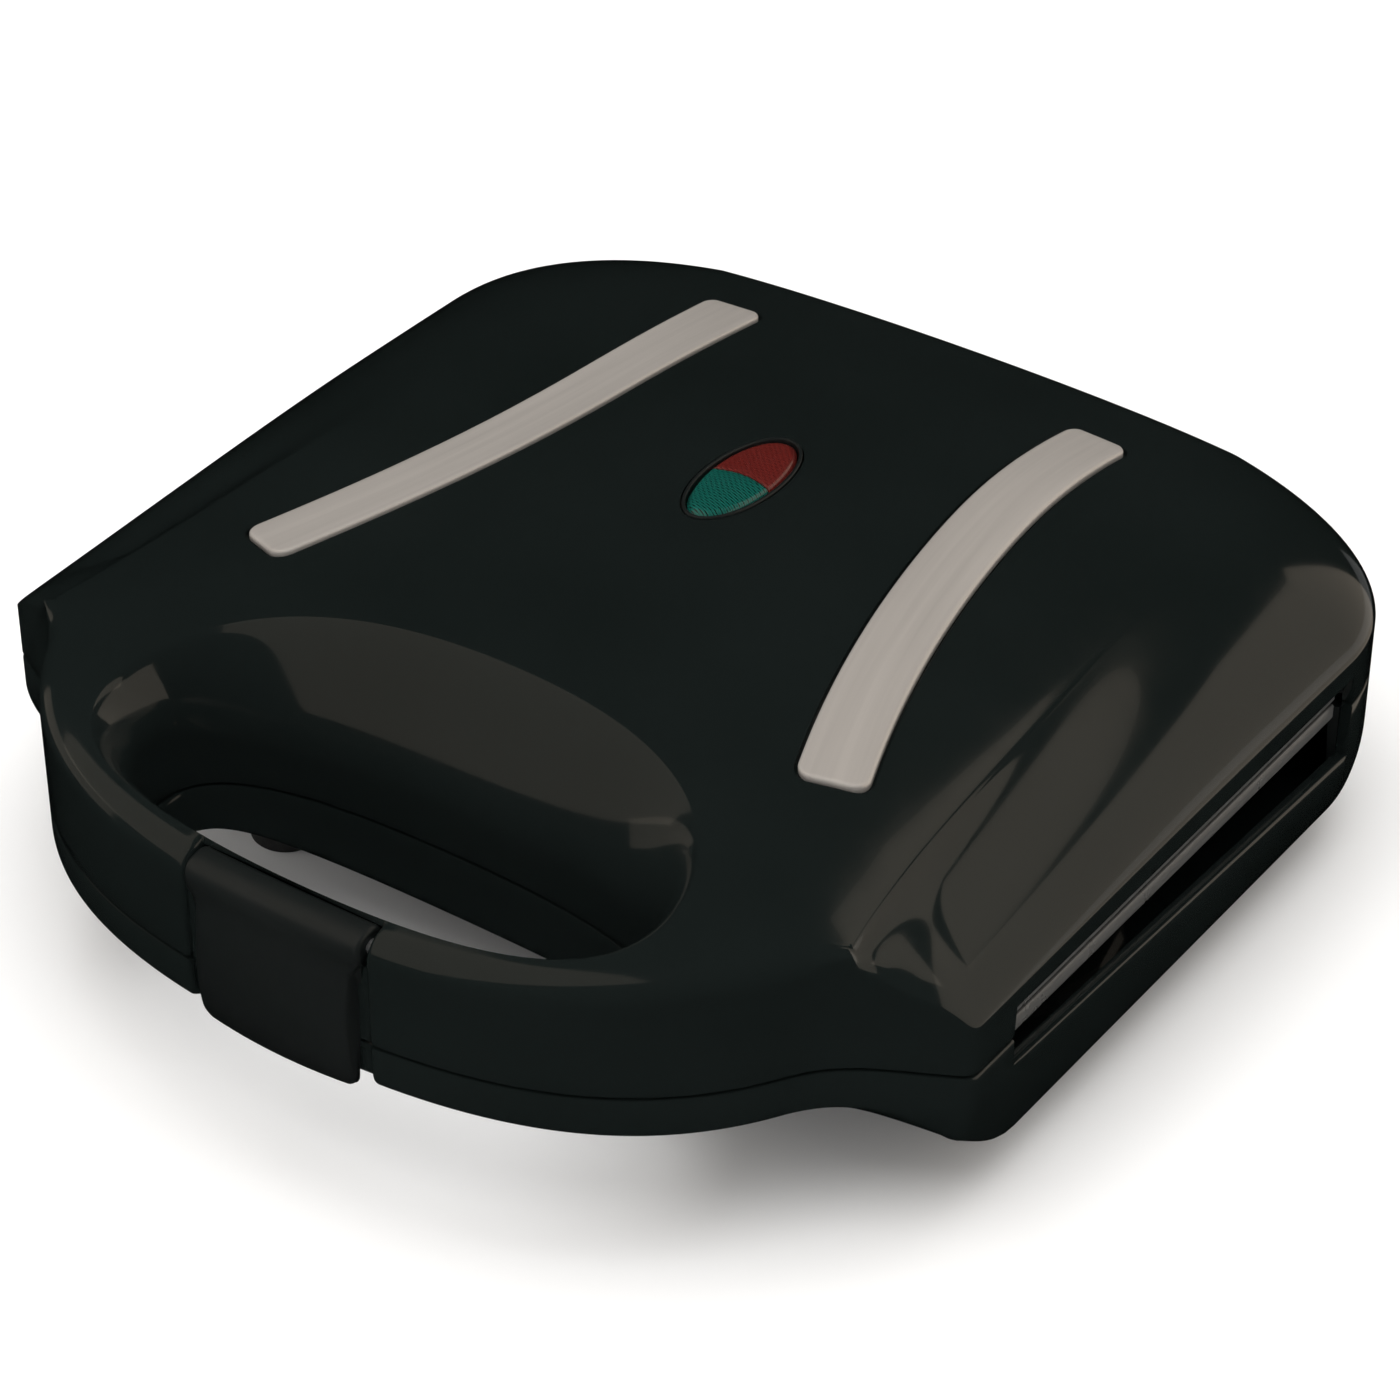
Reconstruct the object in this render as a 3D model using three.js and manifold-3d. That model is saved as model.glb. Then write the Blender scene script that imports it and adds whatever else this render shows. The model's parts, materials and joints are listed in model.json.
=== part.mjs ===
// A two-slice-size donut maker: a clam-shell casing with a finger hole behind its front handle.
// Millimetres, +X to the right, +Y to the rear, +Z up, origin on the table under the casing's middle.
import * as THREE from 'three';
import { mergeVertices } from 'three/addons/utils/BufferGeometryUtils.js';
import Module from 'manifold-3d';

const wasm = await Module();
wasm.setup();

// ---- driving dimensions -------------------------------------------------------------------------
const bodyWidth = 240;
const frontY = -126;          // front of the handle
const rearY = 125;            // rear wall, and the hinge axis
const partingZ = 42;          // plane where lid and base meet
const partingGap = 0.6;
const crownZ = 80.3;          // highest point of the lid's top
const sideEdgeZ = 53.4;       // top of the upright strip along each side
const wall = 2.5;
const fit = 0.3;              // clearance between pieces that touch

const floorZ = 12;            // underside of the base
const handleFloorZ = 29.8;     // underside of the base's half of the handle
const rimFrontZ = 35.5;       // base rim inside the side recess, at its front and rear
const rimRearZ = 29;
const recessTopZ = 49;        // lid's lower edge over the side recess
const recessDepth = 14;
const recessFrontInset = 74;  // from the front and the rear of the casing
const recessRearInset = 45;

const plateThickness = 4;
const plateSideInset = 3.5;
const plateEndGap = 1.5;
const moulds = { across: 3, deep: 2, ringRadius: 19, tubeRadius: 11, wall: 2.5 };

const heaterRadius = 3.2;
const shieldThickness = 0.8;
const shieldSideInset = 19;   // from the plate's edge
const shieldEndInset = 16;
const bossRadius = 4.2;
const screwRadius = 1.6;
const screwHeadRadius = 3.2;
const screwHeadHeight = 2;

const lensLength = 34;
const lensWidth = 15;
const lensY = 29;
const lensDome = 0.7;
const bezelWidth = 1;

const stripWidth = 14.5;
const stripRadius = 337;      // sweep of each trim strip in plan
const stripInnerX = 47.5;     // where that sweep lies nearest the middle
const stripMiddleY = 81;
const stripFrontY = -43;
const stripRearY = 95;
const stripProud = 0.8;
const stripSunk = 0.9;

const latchProud = 3;
const latchThickness = 2.6;
const latchHalfTop = 19.6;
const latchHalfWaist = 18.8;
const latchSideGap = 3.2;     // between the latch and each side of its notch
const latchNotchDepth = 2;
const latchFootZ = 29.2;
const latchBow = 1.4;          // how far its face swells between its head and its foot
const latchPivot = { inset: 4.6, z: 63.6, radius: 3.7 };
const pinRadius = 1.5;

const hinge = { x: 46, knuckle: 12, ear: 6, radius: 4, pin: 1.8 };

const footRadius = 8;
const footX = 70;
const footFrontInset = 84;
const footRearInset = 39;

const glandZ = 31;
const glandRadius = 4.6;
const glandBore = 3.4;

const halfWidth = bodyWidth / 2;
const lidBottomZ = partingZ + partingGap / 2;
const baseTopZ = partingZ - partingGap / 2;

// ---- solids from three.js geometry --------------------------------------------------------------
function solidOf(geometry) {
  const bare = (geometry.index ? geometry : geometry.clone()).clone();
  for (const name of Object.keys(bare.attributes)) {
    if (name !== 'position') bare.deleteAttribute(name);
  }
  const merged = mergeVertices(bare, 1e-4);
  const mesh = new wasm.Mesh({
    numProp: 3,
    vertProperties: new Float32Array(merged.attributes.position.array),
    triVerts: new Uint32Array(merged.index.array),
  });
  return new wasm.Manifold(mesh);
}

function geometryOf(solid) {
  const mesh = solid.getMesh();
  const geometry = new THREE.BufferGeometry();
  geometry.setAttribute('position', new THREE.BufferAttribute(mesh.vertProperties, 3));
  geometry.setIndex(new THREE.BufferAttribute(mesh.triVerts, 1));
  return geometry;
}

function box(low, high) {
  const size = high.map((value, axis) => value - low[axis]);
  const geometry = new THREE.BoxGeometry(...size);
  return solidOf(geometry.translate(...low.map((value, axis) => value + size[axis] / 2)));
}

function rodAlongZ(x, y, low, high, radius, sides = 20) {
  const geometry = new THREE.CylinderGeometry(radius, radius, high - low, sides);
  return solidOf(geometry.rotateX(Math.PI / 2).translate(x, y, (low + high) / 2));
}

function rodAlongX(low, high, y, z, radius, sides = 20) {
  const geometry = new THREE.CylinderGeometry(radius, radius, high - low, sides);
  return solidOf(geometry.rotateZ(Math.PI / 2).translate((low + high) / 2, y, z));
}

function rodAlongY(x, low, high, z, radius, sides = 20) {
  const geometry = new THREE.CylinderGeometry(radius, radius, high - low, sides);
  return solidOf(geometry.translate(x, (low + high) / 2, z));
}

function extrudeUp(shape, low, high, curveSegments = 12) {
  const settings = { depth: high - low, bevelEnabled: false, curveSegments };
  return solidOf(new THREE.ExtrudeGeometry(shape, settings).translate(0, 0, low));
}

// A shape drawn in (y, z) and carried from one x to another.
function extrudeAcross(shape, low, high, curveSegments = 8) {
  const settings = { depth: high - low, bevelEnabled: false, curveSegments };
  const geometry = new THREE.ExtrudeGeometry(shape, settings);
  geometry.applyMatrix4(new THREE.Matrix4().set(0, 0, 1, low, 1, 0, 0, 0, 0, 1, 0, 0, 0, 0, 0, 1));
  return solidOf(geometry);
}

// Rows of points that close on themselves both ways, like the skin of a ring.
function ringSolid(rows) {
  const count = rows[0].length;
  const index = [];
  rows.forEach((row, i) => {
    const next = (i + 1) % rows.length;
    for (let j = 0; j < count; j += 1) {
      const k = (j + 1) % count;
      index.push(i * count + j, i * count + k, next * count + k);
      index.push(i * count + j, next * count + k, next * count + j);
    }
  });
  return closedSolid(rows.flat(1), index);
}

// A closed skin, turned so that its faces point outwards.
function closedSolid(points, index) {
  const geometry = new THREE.BufferGeometry();
  geometry.setAttribute('position', new THREE.Float32BufferAttribute(points.flat(1), 3));
  geometry.setIndex(signedVolume(points, index) < 0 ? index.reverse() : index);
  return solidOf(geometry);
}

function signedVolume(points, index) {
  let total = 0;
  for (let i = 0; i < index.length; i += 3) {
    const [a, b, c] = [points[index[i]], points[index[i + 1]], points[index[i + 2]]];
    total += a[0] * (b[1] * c[2] - b[2] * c[1]) + a[1] * (b[2] * c[0] - b[0] * c[2])
      + a[2] * (b[0] * c[1] - b[1] * c[0]);
  }
  return total;
}

// ---- plan curves of the casing, each as one right half from front middle to rear middle ----------
function bezier(points, t) {
  if (points.length === 1) return points[0];
  const shorter = points.slice(1).map((p, i) => points[i].map((v, a) => v + (p[a] - v) * t));
  return bezier(shorter, t);
}

function frontPoint(fromSide, fromFront) {
  return [halfWidth - fromSide, frontY + fromFront];
}

function rearPoint(fromSide, fromRear) {
  return [halfWidth - fromSide, rearY - fromRear];
}

const outline = [
  { end: 0.30, points: [[0, frontY], [halfWidth - 70, frontY], frontPoint(44, 14), frontPoint(29, 38)] },
  { end: 0.36, points: [frontPoint(29, 38), frontPoint(24, 46.5), frontPoint(15, 51.2)] },
  { end: 0.42, points: [frontPoint(15, 51.2), frontPoint(2, 58)] },
  { end: 0.44, points: [frontPoint(2, 58), frontPoint(0, 59), frontPoint(0, 62)] },
  { end: 0.72, points: [frontPoint(0, 62), rearPoint(0, 47)] },
  { end: 0.86, points: [rearPoint(0, 47), rearPoint(2, 21), rearPoint(45, 4)] },
  { end: 1, points: [rearPoint(45, 4), [(halfWidth - 45) / 2, rearY], [0, rearY]] },
];
const vertexAt = 0.345;       // where the crest starts, at the head of each shoulder
const crest = [
  { end: 0.30, points: [[0, frontY + 4.5], [halfWidth - 71, frontY + 4.5], frontPoint(47, 18), frontPoint(33.5, 39)] },
  { end: vertexAt, points: [frontPoint(33.5, 39), frontPoint(29, 45), frontPoint(21.5, 50)] },
  { end: 0.72, points: [frontPoint(21.5, 50), frontPoint(29, 85), rearPoint(28, 85), rearPoint(38, 47)] },
  { end: 0.86, points: [rearPoint(38, 47), rearPoint(42, 22), rearPoint(60, 13)] },
  { end: 1, points: [rearPoint(60, 13), [(halfWidth - 60) / 2, rearY - 10], [0, rearY - 10]] },
];
const scoopEdge = [
  { end: 0.34, points: [[0, frontY + 7], [46, frontY + 7], [68, frontY + 15], [68, frontY + 35]] },
  { end: 1, points: [[68, frontY + 35], [66, frontY + 58], [45, frontY + 76.6], [0, frontY + 76.6]] },
];
const fingerHole = [
  { end: 0.34, points: [[0, frontY + 10.8], [34, frontY + 10.8], [60, frontY + 17], [60, frontY + 37]] },
  { end: 1, points: [[60, frontY + 37], [60, frontY + 51], [40, frontY + 56.5], [0, frontY + 56.5]] },
];
const stationSpans = [
  { end: 0.30, steps: 5 }, { end: vertexAt, steps: 2 }, { end: 0.42, steps: 3 }, { end: 0.44, steps: 1 },
  { end: 0.72, steps: 5 }, { end: 0.86, steps: 4 }, { end: 1, steps: 3 },
];

function halfStations() {
  const stations = [0];
  for (const { end, steps } of stationSpans) {
    const start = stations[stations.length - 1];
    for (let i = 1; i <= steps; i += 1) stations.push(start + ((end - start) * i) / steps);
  }
  return stations;
}

const half = halfStations();
const stations = [
  ...half.map((s) => ({ s, side: 1 })),
  ...half.slice(1, -1).reverse().map((s) => ({ s, side: -1 })),
];

function pointOn(curve, s) {
  const index = curve.findIndex((piece) => s <= piece.end + 1e-9);
  const start = index > 0 ? curve[index - 1].end : 0;
  return bezier(curve[index].points, (s - start) / (curve[index].end - start));
}

function planLoop(curve) {
  return stations.map(({ s, side }) => {
    const [x, y] = pointOn(curve, s);
    return [x * side, y];
  });
}

function offsetLoop(loop, distance) {
  return loop.map(([x, y], i) => {
    const before = loop[(i + loop.length - 1) % loop.length];
    const after = loop[(i + 1) % loop.length];
    const along = [after[0] - before[0], after[1] - before[1]];
    const length = Math.hypot(...along);
    return [x + (distance * along[1]) / length, y - (distance * along[0]) / length];
  });
}

function mixLoops(first, second, share) {
  return first.map(([x, y], i) => [x + (second[i][0] - x) * share, y + (second[i][1] - y) * share]);
}

function smooth(value) {
  const t = Math.min(1, Math.max(0, value));
  return t * t * (3 - 2 * t);
}

function mix(low, high, share) {
  return low + (high - low) * share;
}

// ---- heights of the casing ----------------------------------------------------------------------
const crownY = 28;            // the lid's highest line
const crownDropSide = 13.82;  // fall of the crown from the middle line to the sides
const crownDropFront = 14;    // fall of the crown at the handle's front
const crownDropRear = 10;
const crownRearReach = 82;

function topZ(x, y) {
  const along = y < crownY
    ? crownDropFront * ((crownY - y) / (crownY - frontY)) ** 2.5
    : crownDropRear * ((y - crownY) / crownRearReach) ** 2;
  return crownZ - Math.hypot(crownDropSide * (x / (bodyWidth / 2)) ** 2, along);
}

// Fall from the crest to the side edge: a sharp step at the front, a round shoulder at the rear.
function sharpFall(t) {
  return 0.42 * (1 - (1 - t) ** 5) + 0.10 * t + 0.48 * t ** 3;
}

function roundFall(t) {
  return 0.28 * t + 0.72 * (1 - Math.sqrt(Math.max(0, 1 - t * t)));
}

const handleEdgeDrop = 4.5;   // rounding along the handle's outer top edge
const rearEdgeDrop = 10;

function edgeZ(s, x, y) {
  const rounded = topZ(x, y) - handleEdgeDrop;
  if (s < 0.30) return rounded;
  const [vertexX, vertexY] = pointOn(crest, vertexAt);
  const vertexZ = topZ(vertexX, vertexY);
  if (s < vertexAt) return mix(rounded, vertexZ - 0.6, smooth((s - 0.30) / (vertexAt - 0.30)));
  const along = (Math.abs(x) - vertexX) / (halfWidth - vertexX);
  if (s < 0.44) return mix(vertexZ, sideEdgeZ, sharpFall(Math.min(1, Math.max(0.02, along))));
  return mix(sideEdgeZ, topZ(0, rearY) - rearEdgeDrop + 1.5, smooth((s - 0.72) / 0.18));
}

function slopeZ(s, share, crestHeight, edgeHeight) {
  const roundness = s < vertexAt ? 1 : smooth((s - vertexAt) / 0.3);
  const fall = mix(sharpFall(share), roundFall(share), roundness);
  return mix(crestHeight, edgeHeight, fall);
}

const wallTopFrontZ = 59;     // where the finger hole's wall turns upright, in front and behind
const wallTopRearZ = 52;

function holeTopZ(s) {
  return mix(wallTopFrontZ, wallTopRearZ, smooth((s - 0.2) / 0.5));
}

function baseFloorZ(y) {
  return mix(floorZ, handleFloorZ, smooth((frontY + 81 - y) / 35));
}

// ---- casing shells ------------------------------------------------------------------------------
function heightRow(loop, height) {
  return loop.map(([x, y], i) => [x, y, height(x, y, stations[i].s)]);
}

function lidSlopeRow(crestLoop, edgeLoop, share, drop) {
  return crestLoop.map(([cx, cy], i) => {
    const [ex, ey] = edgeLoop[i];
    const { s } = stations[i];
    const z = slopeZ(s, share, topZ(cx, cy), edgeZ(s, ex, ey));
    return [mix(cx, ex, share), mix(cy, ey, share), z - drop];
  });
}

function lidScoopRow(edgeLoop, holeLoop, t, drop) {
  return edgeLoop.map(([ex, ey], i) => {
    const [hx, hy] = holeLoop[i];
    const top = topZ(ex, ey);
    const low = holeTopZ(stations[i].s);
    const [across, z] = bezier([[0, top], [0.3, top - 1], [1, mix(low, top, 0.4)], [1, low]], t);
    return [mix(ex, hx, across), mix(ey, hy, across), z - drop];
  });
}

function lidShell() {
  const edge = planLoop(outline);
  const crestLoop = planLoop(crest);
  const scoopLoop = planLoop(scoopEdge);
  const hole = planLoop(fingerHole);
  const inner = {
    edge: offsetLoop(edge, -wall),
    crest: offsetLoop(crestLoop, -wall / 2),
    scoop: offsetLoop(scoopLoop, wall / 2),
    hole: offsetLoop(hole, wall),
  };
  const roof = (x, y) => topZ(x, y) - wall;
  return ringSolid([
    heightRow(hole, () => lidBottomZ),
    heightRow(hole, (x, y, s) => holeTopZ(s)),
    lidScoopRow(scoopLoop, hole, 0.6, 0),
    lidScoopRow(scoopLoop, hole, 0.3, 0),
    heightRow(scoopLoop, topZ),
    heightRow(mixLoops(scoopLoop, crestLoop, 0.35), topZ),
    heightRow(mixLoops(scoopLoop, crestLoop, 0.7), topZ),
    heightRow(crestLoop, topZ),
    lidSlopeRow(crestLoop, edge, 0.25, 0),
    lidSlopeRow(crestLoop, edge, 0.6, 0),
    lidSlopeRow(crestLoop, edge, 0.88, 0),
    heightRow(edge, (x, y, s) => edgeZ(s, x, y)),
    heightRow(edge, () => lidBottomZ),
    heightRow(inner.edge, () => lidBottomZ),
    inner.edge.map(([x, y], i) => [x, y, edgeZ(stations[i].s, ...edge[i]) - wall]),
    lidSlopeRow(inner.crest, inner.edge, 0.5, wall),
    heightRow(inner.crest, roof),
    heightRow(mixLoops(inner.scoop, inner.crest, 0.5), roof),
    heightRow(inner.scoop, roof),
    lidScoopRow(inner.scoop, inner.hole, 0.5, wall),
    heightRow(inner.hole, (x, y, s) => holeTopZ(s) - wall),
    heightRow(inner.hole, () => lidBottomZ),
  ]);
}

const baseSideZ = { front: 32, rear: 24 };

function baseSideRow(loop) {
  return heightRow(loop, (x, y, s) => {
    const side = mix(baseSideZ.front, baseSideZ.rear, smooth((s - 0.44) / 0.3));
    return mix(handleFloorZ + 5, side, smooth((s - 0.3) / 0.14));
  });
}

function baseShell() {
  const edge = planLoop(outline);
  const hole = planLoop(fingerHole);
  const under = (x, y) => baseFloorZ(y);
  const inside = (x, y) => baseFloorZ(y) + wall;
  return ringSolid([
    heightRow(edge, () => baseTopZ),
    baseSideRow(edge),
    heightRow(offsetLoop(edge, -2.2), (x, y) => baseFloorZ(y) + 1.5),
    heightRow(offsetLoop(edge, -5), under),
    heightRow(mixLoops(offsetLoop(edge, -5), offsetLoop(hole, 2.5), 0.4), under),
    heightRow(mixLoops(offsetLoop(edge, -5), offsetLoop(hole, 2.5), 0.87), under),
    heightRow(offsetLoop(hole, 2.5), under),
    heightRow(hole, (x, y) => baseFloorZ(y) + 2.5),
    heightRow(hole, () => baseTopZ),
    heightRow(offsetLoop(hole, wall), () => baseTopZ),
    heightRow(offsetLoop(hole, wall + 1), (x, y) => baseFloorZ(y) + wall + 1),
    heightRow(mixLoops(offsetLoop(edge, -6), offsetLoop(hole, 3.5), 0.87), inside),
    heightRow(mixLoops(offsetLoop(edge, -6), offsetLoop(hole, 3.5), 0.4), inside),
    heightRow(offsetLoop(edge, -6), inside),
    heightRow(offsetLoop(edge, -wall - 1), (x, y, s) => Math.min(baseTopZ - 4, baseFloorZ(y) + wall + 3)),
    heightRow(offsetLoop(edge, -wall), () => baseTopZ),
  ]);
}

const recess = { front: frontY + recessFrontInset, rear: rearY - recessRearInset };

function recessCut(side) {
  const shape = new THREE.Shape([
    new THREE.Vector2(recess.front, rimFrontZ),
    new THREE.Vector2(recess.rear, rimRearZ),
    new THREE.Vector2(recess.rear, recessTopZ),
    new THREE.Vector2(recess.front, recessTopZ),
  ]);
  const near = halfWidth - recessDepth;
  const far = halfWidth + 5;
  return side > 0 ? extrudeAcross(shape, near, far) : extrudeAcross(shape, -far, -near);
}

// ---- places that several pieces share -----------------------------------------------------------
const plate = {
  halfX: halfWidth - plateSideInset,
  frontY: recess.front + plateEndGap,
  rearY: recess.rear - plateEndGap,
};
plate.middleY = (plate.frontY + plate.rearY) / 2;
const pitchX = (2 * plate.halfX) / moulds.across;
const pitchY = (plate.rearY - plate.frontY) / moulds.deep;
const bumpHeight = moulds.tubeRadius + moulds.wall;
const bossPlaces = [-1, 1].map((side) => [(side * pitchX) / 2, plate.middleY]);
const footPlaces = [-1, 1].flatMap((side) => [
  [side * footX, frontY + footFrontInset],
  [side * footX, rearY - footRearInset],
]);
const hingeSides = [-1, 1];
const upperPlateZ = lidBottomZ;
const lowerPlateZ = baseTopZ;
const latchAxis = { y: frontY + latchPivot.inset, z: latchPivot.z };
const lensSurfaceZ = topZ(0, lensY);

// ---- hinge --------------------------------------------------------------------------------------
function hingeEars(side) {
  const start = side * hinge.x;
  const inner = hinge.knuckle / 2 + 2 * fit;
  return [-1, 1].map((end) => {
    const near = start + end * inner;
    const far = start + end * (inner + hinge.ear);
    return [Math.min(near, far), Math.max(near, far)];
  });
}

function hingeLug(range, low, high) {
  const root = box([range[0], rearY - 9, low], [range[1], rearY - 0.5, high]);
  return root.add(rodAlongX(range[0], range[1], rearY, partingZ, hinge.radius, 24));
}

function hingeRoom(range) {
  const low = range[0] - fit;
  const high = range[1] + fit;
  return rodAlongX(low, high, rearY, partingZ, hinge.radius + 0.5, 24);
}

function hingeBore(side) {
  const reach = hinge.knuckle / 2 + hinge.ear + 1;
  return rodAlongX(side * hinge.x - reach, side * hinge.x + reach, rearY, partingZ, hinge.pin + fit, 16);
}

// ---- latch --------------------------------------------------------------------------------------
function latchProfile(grow = 0) {
  const outer = frontY - latchProud - grow;
  const innerY = frontY - latchProud + latchThickness + grow;
  const top = latchAxis.z + latchPivot.radius + grow;
  const foot = latchFootZ - grow;
  const shape = new THREE.Shape();
  shape.moveTo(latchAxis.y, top);
  shape.quadraticCurveTo(outer + latchBow, top, outer + latchBow / 2, top - 9);
  shape.quadraticCurveTo(outer - latchBow / 2, (top + foot) / 2, outer + latchBow, foot + 5);
  shape.quadraticCurveTo(outer + 1.5 * latchBow, foot, innerY + latchBow, foot);
  shape.lineTo(innerY + latchBow, foot + 4);
  shape.lineTo(innerY, (top + foot) / 2);
  shape.lineTo(innerY, latchAxis.z - 7);
  shape.lineTo(latchAxis.y - 2, latchAxis.z - 3.2 - grow);
  shape.lineTo(latchAxis.y, latchAxis.z - 3.2 - grow);
  return shape;
}

function handleLatch() {
  const reach = latchHalfTop + 4;
  const skin = extrudeAcross(latchProfile(), -reach, reach);
  const barrel = rodAlongX(-reach, reach, latchAxis.y, latchAxis.z, latchPivot.radius, 24);
  const front = new THREE.Shape();
  const topHalf = latchHalfTop;
  const waist = latchHalfWaist;
  front.moveTo(-topHalf, 90);
  front.quadraticCurveTo(-waist + 1, 55, -waist, 45);
  front.quadraticCurveTo(-waist, 35, -waist - 1, 20);
  front.lineTo(waist + 1, 20);
  front.quadraticCurveTo(waist, 35, waist, 45);
  front.quadraticCurveTo(waist - 1, 55, topHalf, 90);
  const settings = { depth: 40, bevelEnabled: false, curveSegments: 4 };
  const cut = new THREE.ExtrudeGeometry(front, settings);
  cut.rotateX(Math.PI / 2).translate(0, frontY + 25, 0);
  const bore = rodAlongX(-reach, reach, latchAxis.y, latchAxis.z, pinRadius + fit, 12);
  return skin.add(barrel).intersect(solidOf(cut)).subtract(bore);
}

const latchNotchHalf = latchHalfWaist + latchSideGap;
const latchPinHalf = latchNotchHalf + 1.5;
const latchBlockHalf = latchNotchHalf + 3.3;

function latchNotch(low, high) {
  const front = frontY - latchProud - 2;
  return box([-latchNotchHalf, front, low], [latchNotchHalf, frontY + latchNotchDepth, high]);
}

function latchRollRoom() {
  const half = latchNotchHalf;
  const roll = rodAlongX(-half, half, latchAxis.y, latchAxis.z, latchPivot.radius + 0.4, 24);
  return extrudeAcross(latchProfile(0.4), -half, half).add(roll);
}

function latchPin() {
  return rodAlongX(-latchPinHalf, latchPinHalf, latchAxis.y, latchAxis.z, pinRadius, 12);
}

// ---- indicator lens -----------------------------------------------------------------------------
function ellipse(grow) {
  const shape = new THREE.Shape();
  shape.absellipse(0, lensY, lensWidth / 2 + grow, lensLength / 2 + grow, 0, 2 * Math.PI);
  return shape;
}

function lensHalf(rear) {
  const whole = extrudeUp(ellipse(0), lensSurfaceZ - 4, lensSurfaceZ + lensDome, 10);
  const line = lensY - 1;
  const bulge = new THREE.Shape();
  const reach = lensWidth;
  const edgeY = rear ? line + fit : line;
  bulge.moveTo(-reach, edgeY - 3);
  bulge.quadraticCurveTo(0, edgeY + 3, reach, edgeY - 3);
  bulge.lineTo(reach, lensY - lensLength);
  bulge.lineTo(-reach, lensY - lensLength);
  const front = extrudeUp(bulge, lensSurfaceZ - 10, lensSurfaceZ + 10, 4);
  return rear ? whole.subtract(front) : whole.intersect(front);
}

function lensBezel() {
  const outer = extrudeUp(ellipse(fit + bezelWidth), lensSurfaceZ - 3.2, lensSurfaceZ + 0.3, 10);
  return outer.subtract(extrudeUp(ellipse(fit), lensSurfaceZ - 9, lensSurfaceZ + 9, 10));
}

// ---- trim strips --------------------------------------------------------------------------------
function stripCentreX(y) {
  return stripInnerX + stripRadius - Math.sqrt(stripRadius ** 2 - (stripMiddleY - y) ** 2);
}

function stripBand(side, grow, above, below) {
  const steps = 12;
  const sections = [];
  for (let i = 0; i <= steps; i += 1) {
    const y = mix(stripFrontY - grow, stripRearY + grow, i / steps);
    const x = stripCentreX(y);
    const turn = (stripMiddleY - y) / stripRadius;
    const across = [Math.cos(turn), Math.sin(turn)];
    const reach = stripWidth / 2 + grow;
    const corners = [[-reach, -below], [reach, -below], [reach, above], [-reach, above]];
    sections.push(corners.map(([u, lift]) => {
      const px = x + u * across[0];
      const py = y + u * across[1];
      return [side * px, py, topZ(px, py) + lift];
    }));
  }
  return sweptSolid(sections);
}

// Sections of equal corner count joined in order, with both ends capped.
function sweptSolid(sections) {
  const count = sections[0].length;
  const index = [];
  for (let i = 0; i + 1 < sections.length; i += 1) {
    for (let j = 0; j < count; j += 1) {
      const k = (j + 1) % count;
      const here = i * count;
      const next = here + count;
      index.push(here + j, next + k, here + k, here + j, next + j, next + k);
    }
  }
  const last = (sections.length - 1) * count;
  for (let j = 1; j + 1 < count; j += 1) {
    index.push(0, j, j + 1, last, last + j + 1, last + j);
  }
  return closedSolid(sections.flat(1), index);
}

// ---- casings ------------------------------------------------------------------------------------
function upperHousing() {
  let lid = lidShell();
  const blockFront = frontY + wall - 0.2;
  const blockRear = frontY + 14 - 1;
  lid = lid.add(box([-latchBlockHalf, blockFront, lidBottomZ], [latchBlockHalf, blockRear, latchAxis.z]));
  for (const [x, y] of bossPlaces) {
    lid = lid.add(rodAlongZ(x, y, upperPlateZ + plateThickness + fit, topZ(x, y) - wall / 2, bossRadius));
  }
  for (const side of hingeSides) {
    const knuckle = [side * hinge.x - hinge.knuckle / 2, side * hinge.x + hinge.knuckle / 2];
    lid = lid.add(hingeLug(knuckle, lidBottomZ, partingZ + hinge.radius - 0.7));
    for (const ear of hingeEars(side)) lid = lid.subtract(hingeRoom(ear));
    lid = lid.subtract(hingeBore(side)).subtract(recessCut(side));
    lid = lid.subtract(stripBand(side, fit, 4, stripSunk + fit));
  }
  for (const [x, y] of bossPlaces) {
    const high = upperPlateZ + plateThickness + screwDepth + 2;
    lid = lid.subtract(rodAlongZ(x, y, upperPlateZ, high, screwRadius + fit, 12));
  }
  lid = lid.subtract(latchRollRoom()).subtract(latchNotch(partingZ - 1, latchAxis.z));
  lid = lid.subtract(rodAlongX(-latchPinHalf - fit, latchPinHalf + fit, latchAxis.y, latchAxis.z,
    pinRadius + fit, 12));
  return lid.subtract(extrudeUp(ellipse(bezelWidth + 2 * fit), lensSurfaceZ - 8, lensSurfaceZ + 8, 10));
}

const screwDepth = 9;
const footBossHeight = 8;
const footBossRadius = 3.9;
const footScrewTop = floorZ + footBossHeight - 2;

function lowerHousing() {
  let base = baseShell();
  for (const [x, y] of bossPlaces) {
    base = base.add(rodAlongZ(x, y, floorZ + wall / 2, lowerPlateZ - plateThickness - fit, bossRadius));
    const low = lowerPlateZ - plateThickness - screwDepth - 2;
    base = base.subtract(rodAlongZ(x, y, low, lowerPlateZ, screwRadius + fit, 12));
  }
  for (const [x, y] of footPlaces) {
    base = base.add(rodAlongZ(x, y, floorZ + wall / 2, floorZ + footBossHeight, footBossRadius));
    base = base.subtract(rodAlongZ(x, y, floorZ - 1, footScrewTop + 1, screwRadius + fit, 12));
  }
  for (const side of hingeSides) {
    for (const ear of hingeEars(side)) base = base.add(hingeLug(ear, partingZ - hinge.radius + 0.7, baseTopZ));
    const knuckle = [side * hinge.x - hinge.knuckle / 2, side * hinge.x + hinge.knuckle / 2];
    base = base.subtract(hingeRoom(knuckle)).subtract(hingeBore(side)).subtract(recessCut(side));
  }
  base = base.subtract(latchNotch(handleFloorZ - 1, partingZ + 1));
  return base.subtract(rodAlongY(0, rearY - 12, rearY + 2, glandZ, glandRadius + fit, 20));
}

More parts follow.
